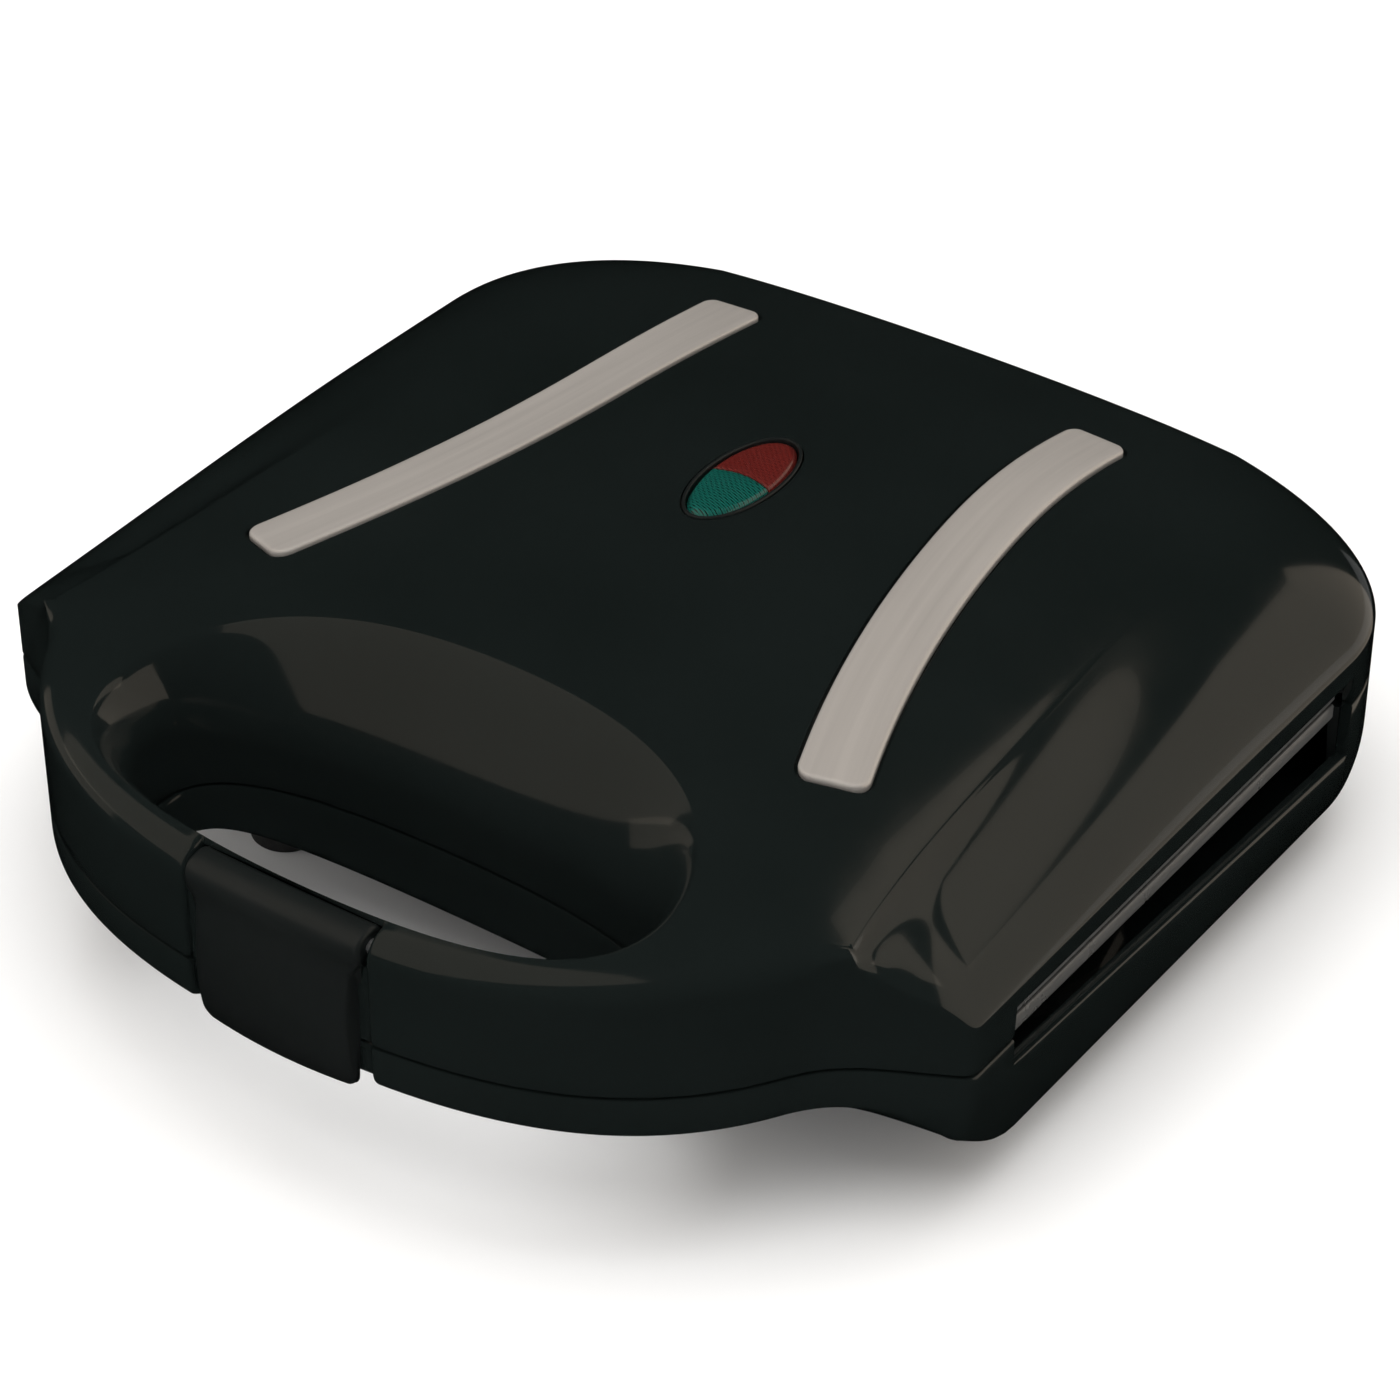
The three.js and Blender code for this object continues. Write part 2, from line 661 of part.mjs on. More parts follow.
// ---- hot plates and what heats them --------------------------------------------------------------
function mouldCentres() {
  const centres = [];
  for (let i = 0; i < moulds.across; i += 1) {
    for (let j = 0; j < moulds.deep; j += 1) {
      centres.push([-plate.halfX + (i + 0.5) * pitchX, plate.frontY + (j + 0.5) * pitchY]);
    }
  }
  return centres;
}

function ringAt([x, y], z, tubeRadius, sides) {
  const geometry = new THREE.TorusGeometry(moulds.ringRadius, tubeRadius, sides, 16);
  return solidOf(geometry.translate(x, y, z));
}

// face is the cooking face's height; up is +1 when the plate's back is above it, -1 when below.
function hotPlate(face, up) {
  const back = face + up * plateThickness;
  const backLimit = face + up * 30;
  const [low, high] = [Math.min(face, back), Math.max(face, back)];
  let body = box([-plate.halfX, plate.frontY, low], [plate.halfX, plate.rearY, high]);
  const margin = 20;
  const keep = box(
    [-plate.halfX - margin, plate.frontY - margin, Math.min(face, backLimit)],
    [plate.halfX + margin, plate.rearY + margin, Math.max(face, backLimit)],
  );
  const ringZ = face - up * 0.25;
  for (const centre of mouldCentres()) {
    body = body.add(ringAt(centre, ringZ, bumpHeight, 8).intersect(keep));
  }
  for (const centre of mouldCentres()) body = body.subtract(ringAt(centre, ringZ, moulds.tubeRadius, 8));
  for (const [x, y] of bossPlaces) {
    body = body.subtract(rodAlongZ(x, y, low - 1, high + 1, screwRadius + fit, 12));
    const seat = face + up * (screwHeadHeight + 0.6);
    const [from, to] = [Math.min(face - up, seat), Math.max(face - up, seat)];
    body = body.subtract(rodAlongZ(x, y, from, to, screwHeadRadius + fit, 16));
  }
  return body;
}

function screw(x, y, headZ, up, length) {
  const head = [headZ, headZ + up * screwHeadHeight];
  const shank = [headZ + up * (screwHeadHeight - 0.5), headZ + up * length];
  const part = ([a, b], radius, sides) => rodAlongZ(x, y, Math.min(a, b), Math.max(a, b), radius, sides);
  return part(head, screwHeadRadius, 16).add(part(shank, screwRadius, 10));
}

function heatingElement(z) {
  const left = -plate.halfX + 18;
  const rows = [plate.middleY - pitchY / 2, plate.middleY + pitchY / 2];
  const bend = pitchY / 2;
  const right = plate.halfX - 18 - bend;
  const path = new THREE.CurvePath();
  path.add(new THREE.LineCurve3(new THREE.Vector3(left, rows[0], z), new THREE.Vector3(right, rows[0], z)));
  const arc = [];
  const arcSteps = 12;
  for (let i = 0; i < arcSteps; i += 1) {
    const [a, b] = [i, i + 1].map((step) => -Math.PI / 2 + (Math.PI * step) / arcSteps);
    const at = (angle) => new THREE.Vector3(
      right + bend * Math.cos(angle), plate.middleY + bend * Math.sin(angle), z);
    arc.push([at(a), at(b)]);
  }
  for (const [a, b] of arc) path.add(new THREE.LineCurve3(a, b));
  path.add(new THREE.LineCurve3(new THREE.Vector3(right, rows[1], z), new THREE.Vector3(left, rows[1], z)));
  const section = new THREE.Shape();
  section.absarc(0, 0, heaterRadius, 0, 2 * Math.PI);
  const settings = { extrudePath: path, steps: 36, curveSegments: 4, bevelEnabled: false };
  return solidOf(new THREE.ExtrudeGeometry(section, settings));
}

function heatShield(low) {
  const halfX = plate.halfX - shieldSideInset;
  let sheet = box(
    [-halfX, plate.frontY + shieldEndInset, low],
    [halfX, plate.rearY - shieldEndInset, low + shieldThickness],
  );
  for (const [x, y] of bossPlaces) {
    sheet = sheet.subtract(rodAlongZ(x, y, low - 1, low + 2, bossRadius + 2 * fit, 16));
  }
  return sheet;
}

const upperHeaterZ = upperPlateZ + bumpHeight + fit + heaterRadius;
const lowerHeaterZ = lowerPlateZ - bumpHeight - fit - heaterRadius;
const upperShieldZ = upperHeaterZ + heaterRadius + 1.5;
const lowerShieldZ = lowerHeaterZ - heaterRadius - 1.5 - shieldThickness;
const thermostat = { x: -60, radius: 8, height: 6 };
const lamp = { radius: 2.3, length: 11, spread: 7 };
const lampHolderZ = upperShieldZ + shieldThickness + 0.5;
const lampZ = lampHolderZ + 3 + fit + lamp.radius;

function thermostatDisc(z) {
  const can = rodAlongZ(thermostat.x, plate.middleY, z, z + thermostat.height, thermostat.radius, 20);
  const tab = box([thermostat.x - 12, plate.middleY - 2, z + 1], [thermostat.x + 12, plate.middleY + 2, z + 2]);
  return can.add(tab);
}

function lampHolder() {
  const reach = lamp.spread + lamp.length / 2 + 1;
  return box([-6, lensY - reach, lampHolderZ], [6, lensY + reach, lampHolderZ + 3]);
}

function neonLamp(end) {
  const middle = lensY + end * lamp.spread;
  return rodAlongY(0, middle - lamp.length / 2, middle + lamp.length / 2, lampZ, lamp.radius, 12);
}

// ---- underside ----------------------------------------------------------------------------------
function rubberFoot([x, y]) {
  const top = floorZ - fit;
  const profile = [[2.2, 4.5], [4.4, 4.5], [4.4, 0], [footRadius - 1.2, 0], [footRadius, 1.2],
    [footRadius - 0.8, top], [2.2, top], [2.2, 4.5]];
  const geometry = new THREE.LatheGeometry(profile.map(([r, z]) => new THREE.Vector2(r, z)), 24);
  return solidOf(geometry.rotateX(Math.PI / 2).translate(x, y, 0));
}

function cordGland() {
  const wallY = rearY;
  const tube = rodAlongY(0, wallY - 6, wallY + fit + 2, glandZ, glandRadius, 20);
  const collar = rodAlongY(0, wallY + fit, wallY + fit + 3.5, glandZ, glandRadius + 2.5, 20);
  return tube.add(collar).subtract(rodAlongY(0, wallY - 8, wallY + 8, glandZ, glandBore, 16));
}

function terminalBlock() {
  return box([14, rearY - 34, floorZ + wall + fit], [44, rearY - 20, floorZ + wall + 12]);
}

function thermalFuse() {
  return rodAlongX(-30, -14, rearY - 27, floorZ + wall + 6, 3, 12);
}

// ---- the assembly -------------------------------------------------------------------------------
const black = { color: 0x141817, roughness: 0.18, metalness: 0 };
const finishes = {
  gloss: black,
  satin: { color: 0x161918, roughness: 0.5, metalness: 0 },
  trim: { color: 0xa39c94, roughness: 0.35, metalness: 0.9 },
  coating: { color: 0x2b2c2c, roughness: 0.45, metalness: 0.3 },
  steel: { color: 0xb4b6b6, roughness: 0.35, metalness: 1 },
  sheet: { color: 0xa8aaa8, roughness: 0.4, metalness: 1 },
  rubber: { color: 0x101010, roughness: 0.85, metalness: 0 },
  red: { color: 0x64251f, roughness: 0.15, metalness: 0 },
  green: { color: 0x12534a, roughness: 0.15, metalness: 0 },
  glass: { color: 0xd8dcd8, roughness: 0.1, metalness: 0 },
  ceramic: { color: 0xe6e2d6, roughness: 0.6, metalness: 0 },
};

const donutMaker = new THREE.Group();

function add(name, solid, finish) {
  const mesh = new THREE.Mesh(geometryOf(solid), new THREE.MeshStandardMaterial(finishes[finish]));
  mesh.name = name;
  donutMaker.add(mesh);
}

add('upper_housing', upperHousing(), 'gloss');
add('lower_housing', lowerHousing(), 'gloss');
add('handle_latch', handleLatch(), 'satin');
add('latch_pin', latchPin(), 'steel');
add('left_trim_strip', stripBand(-1, 0, stripProud, stripSunk), 'trim');
add('right_trim_strip', stripBand(1, 0, stripProud, stripSunk), 'trim');
add('green_indicator_lens', lensHalf(false), 'green');
add('red_indicator_lens', lensHalf(true), 'red');
add('lens_bezel', lensBezel(), 'satin');
add('lamp_holder', lampHolder(), 'ceramic');
add('green_lamp', neonLamp(-1), 'glass');
add('red_lamp', neonLamp(1), 'glass');
add('upper_hot_plate', hotPlate(upperPlateZ, 1), 'coating');
add('lower_hot_plate', hotPlate(lowerPlateZ, -1), 'coating');
add('upper_heating_element', heatingElement(upperHeaterZ), 'steel');
add('lower_heating_element', heatingElement(lowerHeaterZ), 'steel');
add('upper_heat_shield', heatShield(upperShieldZ), 'sheet');
add('lower_heat_shield', heatShield(lowerShieldZ), 'sheet');
add('thermostat', thermostatDisc(upperShieldZ + shieldThickness + fit), 'steel');
add('thermal_fuse', thermalFuse(), 'ceramic');
add('terminal_block', terminalBlock(), 'ceramic');
add('cord_gland', cordGland(), 'rubber');
bossPlaces.forEach(([x, y], i) => {
  const side = ['left', 'right'][i];
  const length = plateThickness + screwDepth;
  add(`upper_plate_screw_${side}`, screw(x, y, upperPlateZ + 0.3, 1, length), 'steel');
  add(`lower_plate_screw_${side}`, screw(x, y, lowerPlateZ - 0.3, -1, length), 'steel');
});
['left_front', 'left_rear', 'right_front', 'right_rear'].forEach((place, i) => {
  const [x, y] = footPlaces[i];
  add(`${place}_foot`, rubberFoot(footPlaces[i]), 'rubber');
  add(`${place}_foot_screw`, screw(x, y, 4.5 - fit - screwHeadHeight, 1, footScrewTop - 2.5), 'steel');
});
for (const side of hingeSides) {
  const reach = hinge.knuckle / 2 + 2 * fit + hinge.ear;
  const pin = rodAlongX(side * hinge.x - reach, side * hinge.x + reach, rearY, partingZ, hinge.pin, 14);
  add(side < 0 ? 'left_hinge_pin' : 'right_hinge_pin', pin, 'steel');
}

export default donutMaker;
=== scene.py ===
# %% [markdown]
# # A donut maker, finished in Blender
# The frame holds the machine as it was engineered: every body, hinge and screw at its real size.
# This notebook gives each visible piece its fine surface and its finish. Every new surface is worked out
# as arrays of points: a few plan curves, a few height rules, and a grid that follows both.

# %% Load the frame
import json
import math

import bmesh
import bpy
import numpy as np
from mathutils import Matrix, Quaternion, Vector


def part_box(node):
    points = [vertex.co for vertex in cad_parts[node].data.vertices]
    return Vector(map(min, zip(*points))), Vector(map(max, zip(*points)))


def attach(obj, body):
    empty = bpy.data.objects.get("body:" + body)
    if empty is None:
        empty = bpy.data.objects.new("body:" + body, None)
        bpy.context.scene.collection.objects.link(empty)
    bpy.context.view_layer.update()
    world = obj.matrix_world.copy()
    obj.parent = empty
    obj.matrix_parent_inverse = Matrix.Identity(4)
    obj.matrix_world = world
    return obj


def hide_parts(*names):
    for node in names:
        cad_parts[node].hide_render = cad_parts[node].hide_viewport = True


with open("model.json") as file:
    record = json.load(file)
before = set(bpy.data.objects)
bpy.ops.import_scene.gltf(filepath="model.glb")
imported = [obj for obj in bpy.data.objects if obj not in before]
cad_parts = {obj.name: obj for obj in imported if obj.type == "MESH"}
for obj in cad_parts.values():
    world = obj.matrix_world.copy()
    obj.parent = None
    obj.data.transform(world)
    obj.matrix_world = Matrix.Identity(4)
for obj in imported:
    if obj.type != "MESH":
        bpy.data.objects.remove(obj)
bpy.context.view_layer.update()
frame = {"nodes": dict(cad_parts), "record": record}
MM = 0.001
GAP = 0.3               # play between neighbouring parts
LENS_DOME = 0.7         # rise of the indicator lens over the crown
LATCH_BEHIND = 4.6      # from the handle's front to the latch's axis

# %% [markdown]
# The sizes that the surfaces need are read from the frame. The lid's and the base's boxes give the width,
# the front of the handle, the rear wall and the plane where the two halves meet.

# %% Sizes taken from the frame, in millimetres
def box_mm(node):
    """Lowest and highest corner of a node of the frame, in millimetres."""
    return [np.array(corner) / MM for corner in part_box(node)]


def middle_mm(node):
    """Middle of a node's box, in millimetres."""
    low, high = box_mm(node)
    return (low + high) / 2


half_width = box_mm("upper_housing")[1][0]
rear_y = middle_mm("left_hinge_pin")[1]
hinge_z = middle_mm("left_hinge_pin")[2]
latch_axis_y, latch_axis_z = middle_mm("latch_pin")[1:]
front_y = latch_axis_y - LATCH_BEHIND
plate_low, plate_high = box_mm("upper_hot_plate")
lid_bottom_z = plate_low[2]
base_top_z = box_mm("lower_hot_plate")[1][2]
lens_y = (box_mm("green_indicator_lens")[0][1] + box_mm("red_indicator_lens")[1][1]) / 2
crown_z = box_mm("red_indicator_lens")[1][2] - LENS_DOME
foot_top = box_mm("left_front_foot")[1][2]
floor_z = foot_top + GAP
handle_floor_z = 29.8   # underside of the handle
print("casing", round(2 * half_width, 1), "by", round(rear_y - front_y, 1), "mm, crown at", round(crown_z, 2))

# %% [markdown]
# ## Grids
# A moulded casing has no simple shape that a ready-made solid could stand in for. It could be sculpted or
# subdivided from a cage, but a grid of points is exact and easy to change: each row is a closed loop in
# plan, each column runs across the casing, and neighbouring points are joined by four-sided faces.

# %% Small rules that every surface uses
def mix(low, high, share):
    """The value a given share of the way from low to high."""
    return low + (high - low) * share


def ease(value):
    """A soft step: 0 below 0, 1 above 1, and level at both ends."""
    t = np.clip(value, 0, 1)
    return t * t * (3 - 2 * t)


def bezier(points, t):
    """Point at t on a Bezier curve: neighbours are mixed again and again until one point is left."""
    row = [np.asarray(point, float) for point in points]
    while len(row) > 1:
        row = [mix(a, b, t) for a, b in zip(row, row[1:])]
    return row[0]


def softened(corners, steps, closed=False):
    """A smooth line drawn inside a line of corners: around each corner runs an arc of a quadratic Bezier
    curve, from the middle of the side before it to the middle of the side after it."""
    corners = [np.asarray(corner, float) for corner in corners]
    count = len(corners)
    t = np.linspace(0, 1, steps, endpoint=False)
    line = []
    for i in range(0 if closed else 1, count if closed else count - 1):
        before, here, after = corners[i - 1], corners[i], corners[(i + 1) % count]
        line += [bezier([mix(before, here, 0.5), here, mix(here, after, 0.5)], value) for value in t]
    return line if closed else [corners[0], *line, mix(corners[-2], corners[-1], 0.5), corners[-1]]


def grid_faces(rows, columns, join_rows=False, join_columns=False):
    """Four-sided faces between neighbouring points of a grid. A joined direction closes on itself."""
    i = np.arange(rows if join_rows else rows - 1)[:, None]
    j = np.arange(columns if join_columns else columns - 1)[None, :]
    k, m = (i + 1) % rows, (j + 1) % columns
    return np.stack([i * columns + j, i * columns + m, k * columns + m, k * columns + j], -1).reshape(-1, 4)


def volume_of(points, faces):
    """Enclosed volume: the sum of the signed pyramids from the origin to each half of each face."""
    a, b, c, d = (points[faces[:, i]] for i in range(4))
    halves = np.einsum("ij,ij->i", a, np.cross(b, c)) + np.einsum("ij,ij->i", a, np.cross(c, d))
    return halves.sum() / 6


# %% From a grid to a piece
finishes = {}


def joined(parts):
    """Several (points, faces) pairs as one, each turned so that its faces point outwards."""
    points, faces, start = [], [], 0
    for part_points, part_faces in parts:
        part_points = np.asarray(part_points, float).reshape(-1, 3)
        turned = part_faces if volume_of(part_points, part_faces) > 0 else part_faces[:, ::-1]
        points.append(part_points)
        faces.append(turned + start)
        start += len(part_points)
    return np.concatenate(points), np.concatenate(faces)


def mesh_object(name, parts, sharp=35):
    """An object at the origin whose mesh holds the parts, welded, smooth, and creased above an angle."""
    points, faces = joined(parts)
    mesh = bpy.data.meshes.new(name)
    mesh.from_pydata((points * MM).tolist(), [], faces.tolist())
    work = bmesh.new()
    work.from_mesh(mesh)
    bmesh.ops.remove_doubles(work, verts=work.verts, dist=2e-6)
    work.to_mesh(mesh)
    work.free()
    mesh.shade_smooth()
    mesh.set_sharp_from_angle(angle=math.radians(sharp))
    piece = bpy.data.objects.new(name, mesh)
    bpy.context.scene.collection.objects.link(piece)
    return piece


def fit_piece(piece, body, finish, *stands_for):
    """Give a piece its finish and its body, and hide the nodes that it stands for."""
    piece.data.materials.clear()
    piece.data.materials.append(finishes[finish])
    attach(piece, body)
    if stands_for:
        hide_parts(*stands_for)
    print(piece.name, "-", len(piece.data.polygons), "faces,", finish, "on", body)
    return piece


# %% [markdown]
# Turned parts, such as feet, screws and the cord's bush, are a profile carried round an axis. The profile
# is a line of (radius, height) points; softened() rounds its corners as a mould or a lathe tool would.

# %% Turned parts
def broken(corners, size, steps=4):
    """A closed profile with each corner replaced by a small arc that starts and ends size away from it."""
    line = []
    for i, corner in enumerate(corners):
        here = np.array(corner, float)
        near = []
        for other in (corners[i - 1], corners[(i + 1) % len(corners)]):
            away = np.array(other, float) - here
            near.append(here + away * min(size / np.linalg.norm(away), 0.5))
        line += [bezier([near[0], here, near[1]], t) for t in np.linspace(0, 1, steps)]
    return line


def turned(profile, centre, axis=2, steps=48, closed=False):
    """Points at radius r and height h of a profile, carried round an axis through the centre.
    Along axis 2 the point at angle a is (r cos a, r sin a, h); for other axes the three are turned round."""
    profile = np.asarray(profile, float)
    angle = np.linspace(0, 2 * math.pi, steps, endpoint=False)[None, :]
    radius, height = profile[:, :1], profile[:, 1:]
    ring = np.stack([radius * np.cos(angle), radius * np.sin(angle), height + 0 * angle], -1)
    points = np.roll(ring, axis - 2, axis=-1) + np.asarray(centre, float)
    return points.reshape(-1, 3), grid_faces(len(profile), steps, join_rows=closed, join_columns=True)

# %% [markdown]
# ## Finishes
# Each finish is a small network of nodes around one Principled shader. Patterns read Object coordinates,
# which are the same as places on the machine in metres, so a grain of 2 mm is a noise of scale 500.
# The casing is injection-moulded plastic from a polished mould: nearly black, with a faint long-wave
# unevenness that breaks up reflections a little. A flat colour with one roughness would look like paint
# in a drawing, so roughness and bump both vary slowly.

# %% Helpers for node networks
def new_finish(name, **sockets):
    """An empty finish with values set straight on the shader; returns the tree and the shader."""
    material = bpy.data.materials.new(name)
    material.use_nodes = True
    tree = material.node_tree
    shader = tree.nodes["Principled BSDF"]
    for socket, value in sockets.items():
        shader.inputs[socket.replace("_", " ")].default_value = value
    finishes[name] = material
    return tree, shader


def add_node(tree, kind, inputs=None, **settings):
    """A node with its settings made and its inputs filled with values or linked from other outputs."""
    node = tree.nodes.new("ShaderNode" + kind)
    for key, value in settings.items():
        setattr(node, key, value)
    for socket, value in (inputs or {}).items():
        if isinstance(value, bpy.types.NodeSocket):
            tree.links.new(value, node.inputs[socket])
        else:
            node.inputs[socket].default_value = value
    return node


def object_noise(tree, scale, detail=3.0, stretch=(1, 1, 1), roughness=0.5):
    """Noise over the piece's own place in metres; stretch scales the three directions one by one."""
    place = add_node(tree, "TexCoord").outputs["Object"]
    sized = add_node(tree, "Mapping", {"Vector": place, "Scale": stretch}).outputs["Vector"]
    inputs = {"Vector": sized, "Scale": scale, "Detail": detail, "Roughness": roughness}
    return add_node(tree, "TexNoise", inputs).outputs["Fac"]


def spread(tree, value, low, high, start=0.3, end=0.7):
    """A value between start and end carried to between low and high, and held there outside."""
    inputs = {"Value": value, "From Min": start, "From Max": end, "To Min": low, "To Max": high}
    return add_node(tree, "MapRange", inputs).outputs["Result"]


def two_colours(tree, share, first, second):
    """The first colour where share is 0, the second where it is 1, and a mix between."""
    node = add_node(tree, "Mix", data_type="RGBA")
    tree.links.new(share, node.inputs["Factor"])
    node.inputs[6].default_value = (*first, 1)
    node.inputs[7].default_value = (*second, 1)
    return node.outputs[2]


def bumps(tree, shader, *layers):
    """Bump layers, each (height, strength, distance in metres), one on top of the other."""
    normal = None
    for height, strength, distance in layers:
        inputs = {"Height": height, "Strength": strength, "Distance": distance}
        if normal:
            inputs["Normal"] = normal
        normal = add_node(tree, "Bump", inputs).outputs["Normal"]
    tree.links.new(normal, shader.inputs["Normal"])


# %% Gloss and satin plastic
def moulded_plastic(name, dark, light, rough, smudge, skin, **sockets):
    """Black plastic: slow colour drift, roughness from handling marks, and a fine moulded skin."""
    tree, shader = new_finish(name, IOR=1.5, **sockets)
    slow = object_noise(tree, 14, 2)
    colour = two_colours(tree, spread(tree, slow, 0, 1), dark, light)
    tree.links.new(colour, shader.inputs["Base Color"])
    marks = object_noise(tree, 60, 5, roughness=0.65)
    tree.links.new(spread(tree, marks, rough, rough + smudge), shader.inputs["Roughness"])
    wave = object_noise(tree, 45, 1)
    grain = object_noise(tree, skin[0], 2)
    bumps(tree, shader, (wave, 0.05, 0.0004), (grain, skin[1], 0.00005))


moulded_plastic("gloss_black_shell", (0.0052, 0.0072, 0.0068), (0.0068, 0.0092, 0.0088), 0.07, 0.06,
                (900, 0.03), Coat_Weight=0.25, Coat_Roughness=0.03)
moulded_plastic("satin_black_plastic", (0.0058, 0.0076, 0.0074), (0.0080, 0.0100, 0.0098), 0.34, 0.10,
                (2600, 0.25))
print("plastics:", sorted(finishes))

# %% [markdown]
# The two trims are pressed from thin sheet, brushed along their length. The brushing is noise that is
# stretched along the strip: it reads the strip's own UV map, whose first axis runs across the strip and
# whose second runs along it, so the lines follow the curve.

# %% Brushed trim
tree, shader = new_finish("trim_metal", Metallic=0.55, Coat_Weight=0.15, Coat_Roughness=0.2)
strip_place = add_node(tree, "UVMap", uv_map="along").outputs["UV"]


def brushing(across, along, detail):
    """Noise on the strip's UV map, fine across and long along."""
    sized = add_node(tree, "Mapping", {"Vector": strip_place, "Scale": (across, along, 1)}).outputs["Vector"]
    return add_node(tree, "TexNoise", {"Vector": sized, "Scale": 1, "Detail": detail}).outputs["Fac"]


hairlines, bands = brushing(5000, 60, 3), brushing(400, 12, 2)
tree.links.new(two_colours(tree, spread(tree, bands, 0, 1), (0.50, 0.465, 0.43), (0.57, 0.53, 0.49)),
               shader.inputs["Base Color"])
tree.links.new(spread(tree, hairlines, 0.38, 0.5), shader.inputs["Roughness"])
bumps(tree, shader, (hairlines, 0.12, 0.00002))

# %% [markdown]
# The hot plates are die-cast aluminium under a sprayed non-stick coat: dark grey, a little sparkling, with
# a fine orange skin. Their thin outer edges at the sides are painted lighter, a painted highlight that keeps
# them seen in the unlit side opening.

# %% Non-stick coat
tree, shader = new_finish("nonstick_plate", Metallic=0.25)
place = add_node(tree, "TexCoord").outputs["Object"]
reach = add_node(tree, "SeparateXYZ", {"Vector": place}).outputs["X"]
side = add_node(tree, "Math", {0: reach}, operation="ABSOLUTE").outputs[0]
# painted highlight: a mask along the plate's side edges, where a lighter colour stands in for light falling on
# them
painted_edge_light = spread(tree, side, 0, 1, (plate_high[0] - 0.9) * MM, (plate_high[0] - 0.1) * MM)
speck = spread(tree, object_noise(tree, 3200, 1), 0, 1, 0.62, 0.72)
coat = two_colours(tree, speck, (0.026, 0.027, 0.027), (0.085, 0.085, 0.083))
edge = add_node(tree, "Mix", data_type="RGBA")
for socket, source in (("Factor", painted_edge_light), (6, coat)):
    tree.links.new(source, edge.inputs[socket])
# the painted highlight colour of the side edges
edge.inputs[7].default_value = (0.105, 0.105, 0.102, 1)
tree.links.new(edge.outputs[2], shader.inputs["Base Color"])
tree.links.new(spread(tree, object_noise(tree, 90, 4), 0.26, 0.38), shader.inputs["Roughness"])
bumps(tree, shader, (object_noise(tree, 1100, 2), 0.18, 0.00006), (object_noise(tree, 4000, 1), 0.1, 0.00002))

# %% [markdown]
# Metal, rubber, glass and ceramic each get one network of the same form: colour drift, roughness drift and
# a fine relief. Only the numbers differ, so one function makes them all.

# %% Steel, sheet, rubber, glass and ceramic
def simple_finish(name, first, second, colour_scale, rough, relief, stretch=(1, 1, 1), **sockets):
    """Two mixed colours, roughness between two values, and a bump of a given scale and strength."""
    tree, shader = new_finish(name, **sockets)
    drift = object_noise(tree, colour_scale, 3)
    tree.links.new(two_colours(tree, spread(tree, drift, 0, 1), first, second), shader.inputs["Base Color"])
    fine = object_noise(tree, relief[0], 3, stretch)
    tree.links.new(spread(tree, fine, *rough), shader.inputs["Roughness"])
    bumps(tree, shader, (fine, relief[1], relief[2]))


simple_finish("steel", (0.50, 0.51, 0.52), (0.60, 0.60, 0.60), 300, (0.24, 0.38), (1500, 0.2, 0.00003),
              (1, 1, 6), Metallic=0.9)
simple_finish("shield_sheet", (0.46, 0.46, 0.45), (0.56, 0.56, 0.55), 60, (0.30, 0.48), (700, 0.2, 0.00004),
              (1, 12, 1), Metallic=0.9)
simple_finish("black_rubber", (0.010, 0.010, 0.010), (0.020, 0.020, 0.019), 500, (0.62, 0.82),
              (2200, 0.5, 0.00006))
simple_finish("lamp_glass", (0.62, 0.64, 0.62), (0.72, 0.73, 0.70), 200, (0.05, 0.12), (400, 0.05, 0.00002),
              Transmission_Weight=0.6)
simple_finish("ceramic", (0.62, 0.58, 0.50), (0.72, 0.69, 0.62), 150, (0.5, 0.7), (1800, 0.3, 0.00005))

# %% [markdown]
# The indicator lens is two pieces of clear tinted plastic. Fine ribs moulded into them spread the light
# of the lamps. The ribs could be modelled, but they are only half a millimetre apart, so they are waves
# in colour and bump that run in slow arcs, broken into short dashes by a second wave across them.

# %% Red and green lens
def ribbed_lens(name, deep, clear, centre, share, **sockets):
    """Tinted plastic with ribs: rings of wavelength 0.6 mm around a far centre, cut by a cross wave."""
    tree, shader = new_finish(name, IOR=1.49, Coat_Weight=0.8, Coat_Roughness=0.04, **sockets)
    place = add_node(tree, "TexCoord").outputs["Object"]
    moved = add_node(tree, "Mapping", {"Vector": place, "Location": centre}).outputs["Vector"]
    rings = add_node(tree, "TexWave", {"Vector": moved, "Scale": 520, "Distortion": 0.5},
                     wave_type="RINGS", rings_direction="Z", wave_profile="SIN").outputs["Fac"]
    cross = add_node(tree, "TexWave", {"Vector": place, "Scale": 430, "Distortion": 0.8},
                     bands_direction="DIAGONAL").outputs["Fac"]
    waves = {0: spread(tree, rings, 0, 1, 0.25, 0.6), 1: spread(tree, cross, 0, share, 0.8, 0.3)}
    dashes = add_node(tree, "Math", waves, operation="MAXIMUM").outputs[0]
    tree.links.new(two_colours(tree, dashes, deep, clear), shader.inputs["Base Color"])
    tree.links.new(spread(tree, object_noise(tree, 300), 0.16, 0.26), shader.inputs["Roughness"])
    bumps(tree, shader, (rings, 0.35, 0.00008))


ribbed_lens("green_lens", (0.002, 0.010, 0.008), (0.004, 0.072, 0.056), (0.012, 0.02, 0), 0.75)
ribbed_lens("red_lens", (0.050, 0.006, 0.005), (0.085, 0.010, 0.008), (0.012, 0.02, 0), 1.0)
print(len(finishes), "finishes")

# %% [markdown]
# ## Plan curves
# Seen from above the casing is drawn by four closed curves: the outer line, the crest where the top turns
# down into the sides, the edge of the scoop, and the finger hole. Each is one right half from the middle
# of the front to the middle of the rear, in Bezier pieces that share one running value from 0 to 1, so
# that the same value finds matching places on all four. The left half is its mirror image.

# %% The four curves
def from_front(side, front):
    """A plan point measured inwards from the side and rearwards from the handle's front."""
    return (half_width - side, front_y + front)


def from_rear(side, rear):
    """A plan point measured inwards from the side and forwards from the rear wall."""
    return (half_width - side, rear_y - rear)


